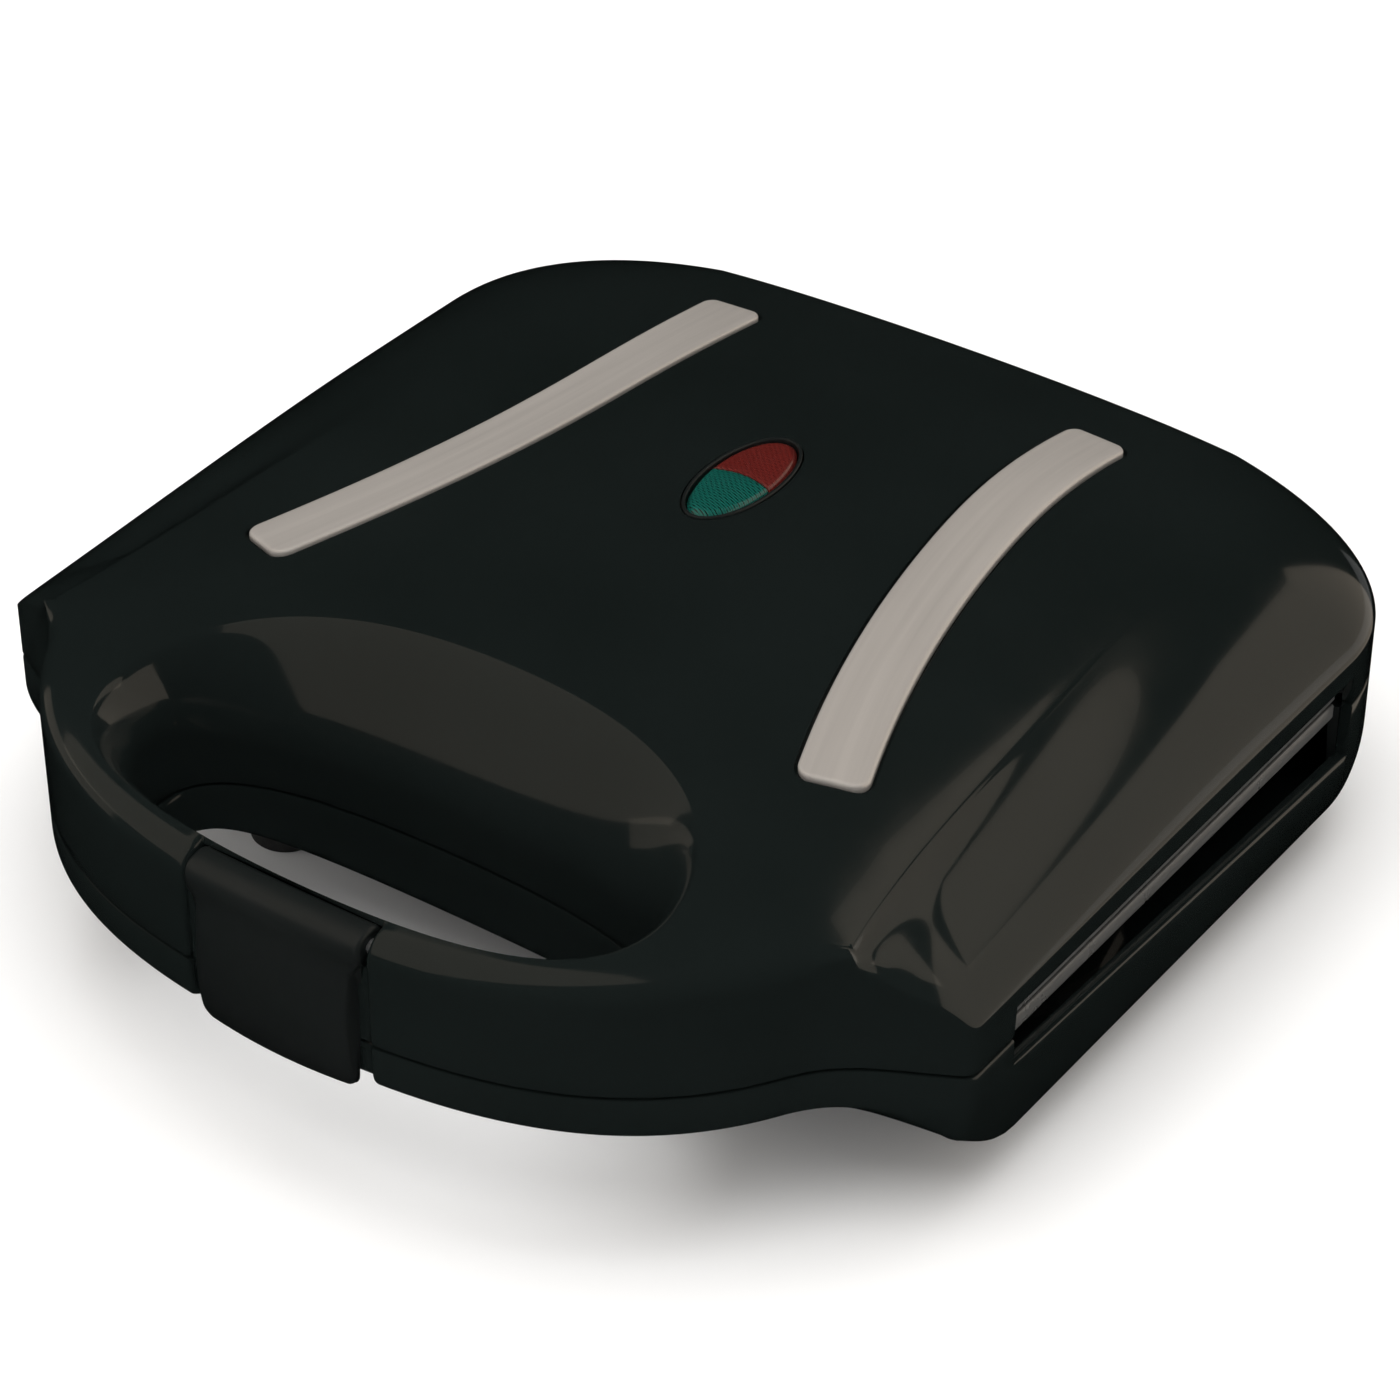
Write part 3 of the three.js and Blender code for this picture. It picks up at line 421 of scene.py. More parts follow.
def line_of(*corners):
    """Corners given as distances behind the handle's front, for the curves round the finger hole."""
    return [(x, front_y + y) for x, y in corners]


VERTEX = 0.345  # where the crest begins, at the head of each shoulder
outline = [
    (0.30, [(0, front_y), (half_width - 70, front_y), from_front(44, 14), from_front(29, 38)]),
    (0.36, [from_front(29, 38), from_front(24, 46.5), from_front(15, 51.2)]),
    (0.42, [from_front(15, 51.2), from_front(2, 58)]),
    (0.44, [from_front(2, 58), from_front(0, 59), from_front(0, 62)]),
    (0.72, [from_front(0, 62), from_rear(0, 47)]),
    (0.86, [from_rear(0, 47), from_rear(-0.4, 15), from_rear(45, 4)]),
    (1.00, [from_rear(45, 4), ((half_width - 45) / 2, rear_y), (0, rear_y)]),
]
crest = [
    (0.30, [(0, front_y + 4.5), (half_width - 71, front_y + 4.5), from_front(47, 18), from_front(33.5, 39)]),
    (VERTEX, [from_front(33.5, 39), from_front(29, 45), from_front(21.5, 50)]),
    (0.72, [from_front(21.5, 50), from_front(29, 85), from_rear(28, 85), from_rear(38, 47)]),
    (0.86, [from_rear(38, 47), from_rear(42, 22), from_rear(60, 13)]),
    (1.00, [from_rear(60, 13), ((half_width - 60) / 2, rear_y - 10), (0, rear_y - 10)]),
]
scoop_edge = [
    (0.34, line_of((0, 7), (46, 7), (68, 15), (68, 35))),
    (1.00, line_of((68, 35), (66, 58), (45, 76.6), (0, 76.6))),
]
finger_hole = [
    (0.34, line_of((0, 10.8), (34, 10.8), (60, 17), (60, 37))),
    (1.00, line_of((60, 37), (60, 51), (40, 56.5), (0, 56.5))),
]


def place_on(curve, s):
    """Plan points of a curve at running values s: each value is passed to the piece that it falls in."""
    found = np.zeros((len(s), 2))
    start = 0.0
    for end, points in curve:
        inside = (s >= start - 1e-12) & (s <= end + 1e-12)
        found[inside] = bezier(points, ((s[inside] - start) / (end - start))[:, None])
        start = end
    return found

# %% [markdown]
# Columns of the grid stand at chosen running values. They are close together where the casing bends, and
# two stand nearly on each other at each step: at the sides of the latch's notch, and at the ends of the
# long opening in each side where the hot plates show. Near the handle's middle all four curves are read
# at the same distance from the middle, so that the notch's side walls come out flat.

# %% Columns of the grid
NOTCH_HALF = 22.0       # half the width of the notch that the latch lies in
NOTCH_ROUND = 1.5       # rounding of the handle beside the notch
OPENING_FRONT, OPENING_REAR = plate_low[1] - 1.5, plate_high[1] + 1.5
STEP = 0.25             # half the width of the step at each end of the side opening

dense = np.linspace(0, 1, 20001)
dense_outline = place_on(outline, dense)
front_part, side_part = dense < 0.30, (dense > 0.40) & (dense < 0.95)


def value_at_x(x, curve=outline):
    """Running value where a curve's front part is x away from the middle."""
    return np.interp(x, place_on(curve, dense)[front_part][:, 0], dense[front_part])


def value_at_y(y):
    """Running value where the outline's side is at y."""
    return float(np.interp(y, dense_outline[side_part][:, 1], dense[side_part]))


column_plan = [
    (value_at_x(NOTCH_HALF - 0.05), 12), (value_at_x(NOTCH_HALF + 0.05), 1),
    (value_at_x(NOTCH_HALF + NOTCH_ROUND), 5), (0.30, 46), (VERTEX, 14), (0.42, 26), (0.44, 10),
    (value_at_y(OPENING_FRONT - STEP), 5), (value_at_y(OPENING_FRONT + STEP), 1), (0.72, 36),
    (value_at_y(OPENING_REAR - STEP), 2), (value_at_y(OPENING_REAR + STEP), 1), (0.86, 40), (1.0, 26),
]
half_values = [0.0]
for end, steps in column_plan:
    half_values += list(np.linspace(half_values[-1], float(end), steps + 1)[1:])
half_values = np.array(half_values)
values = np.concatenate([half_values, half_values[-2:0:-1]])
sides = np.concatenate([np.ones(len(half_values)), -np.ones(len(half_values) - 2)])


def loop_of(curve):
    """Plan points of a curve at every column. Near the middle of the front they keep the outline's x."""
    outline_x = place_on(outline, np.minimum(values, 0.29))[:, 0]
    same_x = value_at_x(np.minimum(outline_x, 55), curve)
    plan = place_on(curve, mix(same_x, values, ease((values - 0.07) / 0.13)))
    return plan * np.stack([sides, np.ones_like(sides)], -1)


outline_loop, crest_loop, scoop_loop, hole_loop = map(loop_of, (outline, crest, scoop_edge, finger_hole))
print(len(values), "columns")

# %% [markdown]
# ## Heights of the casing
# The lid's top is a shallow crown. From the crest the surface falls to the top of the upright side in one
# of two ways: a sharp step near the shoulders, where the crest is a crisp line, and a round shoulder at
# the handle and towards the rear. One number per column mixes the two.

# %% Height rules
CROWN_Y = lens_y - 1
HANDLE_DROP, REAR_DROP, SIDE_DROP = 14.0, 10.0, 13.82    # falls at the handle, the rear, the sides
REAR_REACH = 82.0       # length of the fall towards the rear
SIDE_EDGE_Z = 53.4      # top of the upright strip along each side
OPENING_TOP_Z = 49.0    # lid's edge over the long side opening
HANDLE_ROUND, REAR_ROUND = 4.5, 8.5    # depth of the rounded edge at the handle and at the rear


def top_z(x, y):
    """Crown of the lid: its height less the distance in a plane of two falls, one across and one along."""
    before = np.maximum(CROWN_Y - y, 0) / (CROWN_Y - front_y)
    behind = np.maximum(y - CROWN_Y, 0) / REAR_REACH
    across = SIDE_DROP * (x / half_width) ** 2
    return crown_z - np.hypot(across, HANDLE_DROP * before ** 2.5 + REAR_DROP * behind ** 2)


def sharp_fall(t):
    """A quick fall near the crest, then a long convex slope."""
    return 0.42 * (1 - (1 - t) ** 5) + 0.10 * t + 0.48 * t ** 3


def round_fall(t):
    """Mostly a quarter ellipse, level at the crest and upright at the edge."""
    return 0.28 * t + 0.72 * (1 - np.sqrt(np.maximum(0, 1 - t * t)))


def soft_ramp(u, width=0.035):
    """Nearly 0 below 0 and nearly u above it, with the corner between them rounded; exact at 1."""
    return np.minimum(1, (u + np.sqrt(u * u + width * width)) / 2 * 2 / (1 + math.hypot(1, width)))


vertex_x, vertex_y = place_on(crest, np.array([VERTEX]))[0]
vertex_z = float(top_z(vertex_x, vertex_y))
outline_x, outline_y = np.abs(outline_loop[:, 0]), outline_loop[:, 1]
shoulder = np.clip((outline_x - vertex_x) / (half_width - vertex_x), 0.02, 1)
handle_edge = top_z(outline_x, outline_y) - HANDLE_ROUND
side_edge = mix(SIDE_EDGE_Z, top_z(0, rear_y) - REAR_ROUND, ease((values - 0.72) / 0.18))
edge_z = np.select(
    [values < 0.30, values < VERTEX, values < 0.44],
    [handle_edge, mix(handle_edge, vertex_z - 0.6, ease((values - 0.30) / (VERTEX - 0.30))),
     mix(vertex_z, SIDE_EDGE_Z, sharp_fall(shoulder))],
    side_edge)
roundness = np.where(values < VERTEX, 1, ease((values - VERTEX) / 0.3))
hole_top_z = mix(59.0, 52.0, ease((values - 0.2) / 0.5))
in_opening = (np.clip((outline_y - OPENING_FRONT) / STEP / 2 + 0.5, 0, 1)
              * np.clip((OPENING_REAR - outline_y) / STEP / 2 + 0.5, 0, 1) * (outline_x > 100))
lid_edge_z = mix(lid_bottom_z, OPENING_TOP_Z, in_opening)
print("edge of the lid from", edge_z.min().round(1), "to", edge_z.max().round(1), "mm")

# %% [markdown]
# ## The lid
# The lid is one thin shell whose skin closes on itself twice: round the casing in plan, and over the top,
# down the side, back along the inside and up through the finger hole. So it is a ring, and a grid joined
# in both directions holds it with no open edge. Rows are listed in that order.

# %% Rows of the lid
WALL = 2.5


def row(plan, z):
    """A row of points: a plan loop at one height or at one height per column."""
    return np.column_stack([plan, np.broadcast_to(z, len(plan))])


def shifted(plan, distance):
    """A plan loop moved outwards: each point goes square to the line between its smoothed neighbours."""
    reach = np.arange(-3, 4)
    before = sum(np.roll(plan, 3 - k, axis=0) for k in reach) / len(reach)
    after = sum(np.roll(plan, -3 - k, axis=0) for k in reach) / len(reach)
    along = after - before
    along /= np.linalg.norm(along, axis=1)[:, None]
    return plan + distance * np.column_stack([along[:, 1], -along[:, 0]])


def lid_top_row(share):
    """Row between the scoop's edge (0), the crest (1) and the outline (2). Its height is the crown's, less
    the part of the whole fall that the mixed, corner-softened rule gives at that place."""
    outwards = max(share - 1, 0)
    plan = mix(scoop_loop, crest_loop, share) if share <= 1 else mix(crest_loop, outline_loop, outwards)
    slope_width = np.linalg.norm(outline_loop - crest_loop, axis=1)
    before = (1 - min(share, 1)) * np.linalg.norm(crest_loop - scoop_loop, axis=1) / slope_width
    t = soft_ramp(outwards - before)
    fall = mix(sharp_fall(t), round_fall(t), roundness)
    crest_height = top_z(*crest_loop.T)
    start = top_z(*plan.T) if share <= 1 else crest_height
    return row(plan, start - (crest_height - edge_z) * fall)


def scoop_row(t):
    """Row down the scoop: a Bezier curve in (share of the way inwards, height)."""
    top, low = top_z(*scoop_loop.T), hole_top_z
    nought, one = np.zeros_like(low), np.ones_like(low)
    corners = [(nought, top), (0.3 * one, top - 1), (one, mix(low, top, 0.4)), (one, low)]
    across, z = bezier([np.stack(corner) for corner in corners], t)
    return row(mix(scoop_loop, hole_loop, across[:, None]), z)


def rounded_edge(plan, z, turn, size=0.5):
    """Three rows round a free edge, from its flat underside (or top) onto the wall above (or below)."""
    return [row(shifted(plan, turn * size), z), row(shifted(plan, turn * size * 0.3), z + 0.3 * size),
            row(plan, z + size)]


near_crest = np.array([0.9, 0.93, 0.955, 0.975, 0.99])
top_shares = np.concatenate([np.linspace(0, 0.87, 26) ** 1.15, near_crest])
slope_shares = 1 + np.concatenate([[0, 0.008, 0.018, 0.032, 0.05], np.linspace(0.075, 0.9, 22),
                                   1 - 0.1 * (1 - np.linspace(0.12, 1, 12)) ** 2])
lid_rows = rounded_edge(hole_loop, lid_bottom_z, 1)
lid_rows += [row(hole_loop, mix(lid_bottom_z + 0.5, hole_top_z, share))
             for share in np.linspace(0, 1, 7)[1:-1]]
lid_rows += [scoop_row(t) for t in np.linspace(1, 0, 31)[:-1]]
first_top = len(lid_rows)
lid_rows += [lid_top_row(share) for share in [*top_shares, *slope_shares]]
lid_rows += [row(outline_loop, mix(edge_z, lid_edge_z + 0.5, share))
             for share in np.linspace(0, 1, 9)[1:-1]]
lid_rows += rounded_edge(outline_loop, lid_edge_z, -1)[::-1]
last_outer = len(lid_rows)
print(last_outer, "rows on the outside,", first_top, "of them below the scoop's edge")

# %% [markdown]
# The inside is never seen up close, so it has few rows. It follows the outside at the wall's thickness.

# %% Inside of the lid
inner = {name: shifted(plan, turn * WALL) for name, plan, turn in (
    ("outline", outline_loop, -1), ("crest", crest_loop, -0.5),
    ("scoop", scoop_loop, 0.5), ("hole", hole_loop, 1))}
roof = top_z(*inner["crest"].T) - WALL
inner_edge = np.minimum(edge_z - WALL, roof)
lid_rows += [row(inner["outline"], lid_edge_z), row(inner["outline"], inner_edge)]
scoop_top = top_z(*inner["scoop"].T)
lid_rows += [row(mix(inner["crest"], inner["outline"], 0.5), mix(roof, inner_edge, mix(0.5, 0.3, roundness))),
             row(inner["crest"], roof), row(inner["scoop"], scoop_top - WALL),
             row(mix(inner["scoop"], inner["hole"], 0.7), mix(scoop_top, hole_top_z, 0.45) - WALL),
             row(inner["hole"], hole_top_z - WALL), row(inner["hole"], lid_bottom_z)]
lid_grid = np.stack(lid_rows)

# %% [markdown]
# The latch lies in a notch across the handle. The handle's edges beside it are rounded by moving the skin
# inwards along its own normals, more and more towards the notch, as a quarter circle does. Between the two
# close columns the skin drops into the notch, whose floor follows the latch's round head and then goes
# straight down.

# %% The latch's notch in the lid
HEAD_ROOM = 4.1         # radius of the hollow that the latch's head turns in
NOTCH_FLOOR_Y = front_y + 2


def grid_normals(grid):
    """Unit normals of a closed grid: the cross product of the steps along its two directions."""
    along = np.roll(grid, -1, axis=0) - np.roll(grid, 1, axis=0)
    round_ = np.roll(grid, -1, axis=1) - np.roll(grid, 1, axis=1)
    normals = np.cross(round_, along)
    return normals / np.maximum(np.linalg.norm(normals, axis=-1, keepdims=True), 1e-9)


def round_beside_notch(grid, first, last):
    """Move the skin of some rows inwards beside the notch, by the depth of a quarter circle."""
    from_side = np.clip((NOTCH_HALF + NOTCH_ROUND - np.abs(grid[..., 0])) / NOTCH_ROUND, 0, 1)
    depth = NOTCH_ROUND * (1 - np.sqrt(np.maximum(0, 1 - from_side ** 2)))
    depth[:first] = depth[last:] = 0
    depth[:, outline_y > front_y + 20] = 0
    normals = grid_normals(grid)
    front = int(np.argmin(grid[first:last, 0, 1])) + first
    facing = -np.sign(normals[front, 0, 1])
    return grid - normals * [0, facing, facing] * depth[..., None]


def along_path(path, count):
    """A path's points at equal steps of its length."""
    path = np.asarray(path, float)
    run = np.concatenate([[0], np.cumsum(np.linalg.norm(np.diff(path, axis=0), axis=1))])
    want = np.linspace(0, run[-1], count)
    return np.column_stack([np.interp(want, run, path[:, i]) for i in range(path.shape[1])])


in_notch = (outline_x < NOTCH_HALF) & (values < 0.2)
lid_grid = round_beside_notch(lid_grid, first_top, last_outer)
floor_turn = math.asin((latch_axis_y - NOTCH_FLOOR_Y) / HEAD_ROOM)
turns = np.linspace(math.radians(48), -math.pi / 2 - floor_turn, 60)
hollow = np.column_stack([latch_axis_y + HEAD_ROOM * np.cos(turns), latch_axis_z + HEAD_ROOM * np.sin(turns)])
notch_path = np.vstack([hollow, [NOTCH_FLOOR_Y, lid_bottom_z]])
notch_line = along_path(notch_path, last_outer - first_top)
lid_grid[first_top:last_outer, in_notch, 1:] = notch_line[:, None, :]
lid_faces = grid_faces(len(lid_grid), len(values), True, True)
print("lid:", 2 * len(lid_faces), "triangles")

# %% [markdown]
# Pockets for the trims and the lens, and the hollows round the base's hinge ears, don't follow the grid's
# lines. They are cut with the Boolean modifier's exact solver, all cutters in one mesh so that it runs
# once, and the result is kept as the piece's mesh. New corners on the crown would shade a little wrong
# on a surface this glossy, because they hang from long thin faces. So every face corner on the crown is
# given the normal that the crown's own formula has there.

# %% Cutting and true normals
def cut(piece, cutter_parts):
    """Take the cutters away from a piece and keep the result as its mesh."""
    cutter = mesh_object(piece.name + "_cutter", cutter_parts)
    modifier = piece.modifiers.new("cut", "BOOLEAN")
    modifier.operation, modifier.solver, modifier.object = "DIFFERENCE", "EXACT", cutter
    result = bpy.data.meshes.new_from_object(piece.evaluated_get(bpy.context.evaluated_depsgraph_get()))
    piece.modifiers.clear()
    piece.data = result
    bpy.data.objects.remove(cutter)
    result.shade_smooth()
    result.set_sharp_from_angle(angle=math.radians(35))
    print(piece.name, "cut:", len(result.polygons), "faces")


def give_crown_normals(mesh):
    """Corner normals on the crown from its slope: (-dz/dx, -dz/dy, 1), made one long."""
    count = len(mesh.loops)
    normals, corner = np.empty(count * 3, np.float32), np.empty(count, np.int32)
    mesh.corner_normals.foreach_get("vector", normals)
    mesh.loops.foreach_get("vertex_index", corner)
    place = np.empty(len(mesh.vertices) * 3)
    mesh.vertices.foreach_get("co", place)
    x, y, z = place.reshape(-1, 3)[corner].T / MM
    facing, sizes = np.empty(len(mesh.polygons) * 3), np.empty(len(mesh.polygons), np.int32)
    mesh.polygons.foreach_get("normal", facing)
    mesh.polygons.foreach_get("loop_total", sizes)
    upright = np.repeat(facing.reshape(-1, 3)[:, 2], sizes)
    step = 0.05
    slope_x = (top_z(x + step, y) - top_z(x - step, y)) / (2 * step)
    slope_y = (top_z(x, y + step) - top_z(x, y - step)) / (2 * step)
    true = np.column_stack([-slope_x, -slope_y, np.ones(count)])
    true /= np.linalg.norm(true, axis=1)[:, None]
    on_crown = (np.abs(z - top_z(x, y)) < 0.02) & (upright > 0.9) & (np.abs(x) < 84) & (y > front_y + 20)
    normals = normals.reshape(-1, 3)
    normals[on_crown] = true[on_crown]
    mesh.normals_split_custom_set(normals.tolist())
    print(int(on_crown.sum()), "corners on the crown")

# %% [markdown]
# The trims sweep along a wide circle in plan, level with the crown. One function gives any point of such a
# band from its place along and across, so the pocket and the trim that lies in it can't disagree.

# %% Shape of the trims
STRIP_RADIUS, STRIP_INNER_X, STRIP_MIDDLE_Y = 337.0, 47.5, 81.0
STRIP_HALF, STRIP_PROUD, STRIP_SUNK, GROOVE = 7.25, 0.8, 0.9, 0.75
STRIP_FRONT, STRIP_REAR = -43.0, 95.0
POCKET_CORNER, TRIM_CORNER = 3.6, 3.3
BORDER_FALL = 0.75      # depth of a pressed border, as a share of its width
SHEET_MIDDLE = -0.2     # lift of the trim's middle layer, where its ends are drawn together


def on_band(side, along, across, lift):
    """Point of a band: along is y on its centre line, across is measured square to that line."""
    turn = (STRIP_MIDDLE_Y - along) / STRIP_RADIUS
    x = STRIP_INNER_X + STRIP_RADIUS - np.sqrt(STRIP_RADIUS ** 2 - (STRIP_MIDDLE_Y - along) ** 2)
    px, py = x + across * np.cos(turn), along + across * np.sin(turn)
    return np.stack(np.broadcast_arrays(side * px, py, top_z(px, py) + lift), -1)


def band_half(along, half, front, rear, corner):
    """Half the width at a place along the band: full, but drawn in near the ends like a rounded corner."""
    from_end = np.minimum(along - front, rear - along)
    inside = np.clip(corner - from_end, 0, corner)
    return half - (corner - np.sqrt(np.maximum(0, corner ** 2 - inside ** 2)))


def band_rows(side, front, rear, half, corner, section, ends, steps, border=0.0):
    """Stations along a band, close together near its ends, and its section at each of them. A section is
    (across as a share, set-back from the side, lift); a pressed border lowers its top at both ends."""
    inner = np.linspace(front + ends[-1], rear - ends[-1], steps)[1:-1]
    stations = np.concatenate([front + ends, inner, rear - ends[::-1]])[:, None]
    width = band_half(stations, half, front, rear, corner)
    share, set_back, lift = (np.asarray(column, float)[None, :] for column in zip(*section))
    across = np.sign(share) * np.maximum(np.abs(share) * width - set_back, 0)
    if border:
        end_share = np.clip(1 - np.minimum(stations - front, rear - stations) / border, 0, 1)
        end_drop = border * BORDER_FALL * (1 - np.sqrt(1 - end_share ** 2))
        lift = np.where(lift > 0, np.maximum(lift - end_drop, SHEET_MIDDLE), lift)
    return stations, on_band(side, stations, across, lift)


# %% [markdown]
# The lens opening is an upright elliptical shaft. The hollows for the hinge ears are short rods along the
# hinge axis, a little larger than the ears that turn in them.

# %% Cutters for the lens, the hinge and the trims, then the lid itself
LENS_HALF_X, LENS_HALF_Y, LENS_DEPTH, BEZEL = 7.5, 17.0, 3.2, 1.0
HINGE_X, KNUCKLE, EAR, BARREL, PIN = 46.0, 12.0, 6.0, 4.0, 1.8
lens_z = float(top_z(0.0, lens_y))


def elliptic_rows(rows, steps=96):
    """Rows of an ellipse round the lens: each row is (growth outwards, height)."""
    angle = np.linspace(0, 2 * math.pi, steps, endpoint=False)
    return np.stack([np.column_stack([(LENS_HALF_X + grow) * np.cos(angle),
                                      lens_y + (LENS_HALF_Y + grow) * np.sin(angle),
                                      np.full(steps, z)]) for grow, z in rows])


def capped(rows):
    """A tube of rows shut at both ends by a point in the middle of its first and its last row."""
    rows = np.asarray(rows, float)
    ends = [np.broadcast_to(rows[i].mean(axis=0), rows[i].shape)[None] for i in (0, -1)]
    points = np.concatenate([ends[0], rows, ends[1]])
    return points.reshape(-1, 3), grid_faces(len(points), points.shape[1], join_columns=True)


def hinge_rod(low, high, radius):
    """A rod along the hinge axis, with its ends filled."""
    profile = [(0, low), (radius, low), (radius, high), (0, high)]
    return turned(profile, (0, rear_y, hinge_z), axis=0, steps=40)


ear_start = KNUCKLE / 2 + 2 * GAP
ear_ranges = [(side * HINGE_X + near, side * HINGE_X + near + EAR)
              for side in (-1, 1) for near in (ear_start, -ear_start - EAR)]
knuckle_ranges = [(side * HINGE_X - KNUCKLE / 2, side * HINGE_X + KNUCKLE / 2) for side in (-1, 1)]
lens_shaft = capped(elliptic_rows([(BEZEL + 2 * GAP, lens_z - 8), (BEZEL + 2 * GAP, lens_z + 8)]))
ear_rooms = [hinge_rod(low - GAP, high + GAP, BARREL + 0.5) for low, high in ear_ranges]

pocket_section = [(-1, 0, -1.2), (1, 0, -1.2), (1, 0, 4), (-1, 0, 4)]
pocket_ends = np.array([0, 0.1, 0.3, 0.7, 1.3, 2.0, 2.8, 3.6])
pockets = [capped(band_rows(side, STRIP_FRONT - GROOVE, STRIP_REAR + GROOVE, STRIP_HALF + GROOVE,
                            POCKET_CORNER, pocket_section, pocket_ends, 60)[1]) for side in (1, -1)]

lid = mesh_object("lid_shell", [(lid_grid, lid_faces)])
cut(lid, [*pockets, lens_shaft, *ear_rooms])
give_crown_normals(lid.data)
fit_piece(lid, "lid", "gloss_black_shell", "upper_housing")

# %% [markdown]
# ## The base
# The base is a ring of the same kind, so it uses the same loops. Its skin goes down the outer wall, round
# the lower edge, along the floor, up through the finger hole, and back along the inside. Under the
# handle the floor rises, because the handle is thinner than the body.

# %% Rows of the base
RAMP_START, RAMP_LENGTH = 81.0, 35.0    # the underside's ramp, measured from the handle's front


def base_floor(y):
    """Height of the underside: low under the body, high under the handle, with a soft ramp between."""
    return mix(floor_z, handle_floor_z, ease((front_y + RAMP_START - y) / RAMP_LENGTH))


rim_slope = mix(35.5, 29.0, np.clip((outline_y - OPENING_FRONT) / (OPENING_REAR - OPENING_FRONT), 0, 1))
base_edge_z = mix(base_top_z, rim_slope, in_opening)
side_z = mix(33.0, mix(32.0, 24.0, ease((values - 0.44) / 0.3)), ease((values - 0.3) / 0.14))
outline_floor = base_floor(outline_y)


def under_row(distance, plan=outline_loop, lift=0.0):
    """A row of the floor at a distance from a plan loop."""
    moved = shifted(plan, distance)
    return row(moved, base_floor(moved[:, 1]) + lift)


lower_edge = [row(outline_loop, mix(side_z, base_edge_z - 0.5, 0.6)), row(outline_loop, side_z),
              under_row(-2.4, lift=1.6), under_row(-5.2), under_row(-9)]
outer_floor, hole_floor = shifted(outline_loop, -9), shifted(hole_loop, 4)
floor_rows = []
for share in 1 - (1 - np.linspace(0.04, 0.985, 30)) ** 1.7:
    plan = mix(outer_floor, hole_floor, share)
    floor_rows.append(row(plan, base_floor(plan[:, 1])))
hole_edge = [under_row(4, hole_loop), under_row(1.2, hole_loop), under_row(0, hole_loop, 1.4),
             under_row(0, hole_loop, 4)]
base_rows = [row(shifted(outline_loop, -0.5), base_edge_z),
             row(shifted(outline_loop, -0.15), base_edge_z - 0.15), row(outline_loop, base_edge_z - 0.5)]
base_rows += softened(lower_edge, 7)
base_outer = len(base_rows)
base_rows += floor_rows + softened(hole_edge, 6)
hole_wall = base_floor(hole_loop[:, 1]) + 4
base_rows += [row(hole_loop, mix(hole_wall, base_top_z - 0.5, share)) for share in (0.3, 0.65, 1)]
base_rows += [row(shifted(hole_loop, 0.15), base_top_z - 0.15), row(shifted(hole_loop, 0.5), base_top_z)]
print(len(base_rows), "rows on the outside of the base")

# %% Inside of the base
inner_outline, inner_hole = shifted(outline_loop, -6), shifted(hole_loop, 3.5)
base_rows += [row(shifted(hole_loop, WALL), base_top_z), under_row(WALL + 1, hole_loop, WALL + 1)]
for share in (0.13, 0.4, 0.7, 1):
    plan = mix(inner_hole, inner_outline, share)
    base_rows.append(row(plan, base_floor(plan[:, 1]) + WALL))
base_rows += [row(shifted(outline_loop, -WALL - 1), np.minimum(base_edge_z - 2, outline_floor + WALL + 3)),
              row(shifted(outline_loop, -WALL), base_edge_z)]
base_grid = round_beside_notch(np.stack(base_rows), 0, base_outer)
front_wall = (base_grid[..., 1] < NOTCH_FLOOR_Y) & in_notch[None, :]
front_wall[base_outer:] = False
base_grid[..., 1][front_wall] = NOTCH_FLOOR_Y

base = mesh_object("base_shell", [(base_grid, grid_faces(len(base_grid), len(values), True, True))])
gland_y, gland_z = rear_y, middle_mm("cord_gland")[2]
gland_shaft = turned([(0, -12), (4.9, -12), (4.9, 4), (0, 4)], (0, gland_y, gland_z), axis=1, steps=40)
cut(base, [gland_shaft, *[hinge_rod(low - GAP, high + GAP, BARREL + 0.5) for low, high in knuckle_ranges]])
fit_piece(base, "base", "gloss_black_shell", "lower_housing")

# %% [markdown]
# ## Hinge
# The lid's two knuckles and the base's four ears are short barrels round steel pins. Each is a closed
# turned ring with its edges broken, half sunk in the wall that it grows from.

# %% Knuckles and ears
def barrel(low, high):
    """A ring along the hinge axis with small rounded edges."""
    corners = [(PIN + 0.3, low), (BARREL, low), (BARREL, high), (PIN + 0.3, high)]
    return turned(broken(corners, 0.4), (0, rear_y, hinge_z), axis=0, steps=56, closed=True)


knuckles = mesh_object("lid_hinge_knuckles", [barrel(*ends) for ends in knuckle_ranges])
fit_piece(knuckles, "lid", "gloss_black_shell")
ears = mesh_object("base_hinge_ears", [barrel(*ends) for ends in ear_ranges])
fit_piece(ears, "base", "gloss_black_shell")

# %% [markdown]
# ## Trims
# Each trim is a thin pressed plate with a narrow rounded border. Its section has a flat middle and a
# quarter-round at each side; the height falls in the same way over the last half millimetre at each end.

# %% Trims
BORDER = 0.9            # width of the pressed border
quarter = np.linspace(0, math.pi / 2, 6)
side_curve = [(BORDER * (1 - math.sin(a)), STRIP_PROUD - BORDER * BORDER_FALL * (1 - math.cos(a)))
              for a in quarter]
right_side = [(1, set_back, lift) for set_back, lift in side_curve]
flat = [(share, 0, STRIP_PROUD) for share in np.linspace(0.8, -0.8, 9)]
left_side = [(-1, set_back, lift) for set_back, lift in side_curve]
trim_section = [(-1, 0, -STRIP_SUNK), (1, 0, -STRIP_SUNK), *right_side[::-1], *flat, *left_side]
trim_ends = np.array([0, 0.12, 0.3, 0.55, 0.9, 1.3, 1.8, 2.4, 3.0, 3.6])


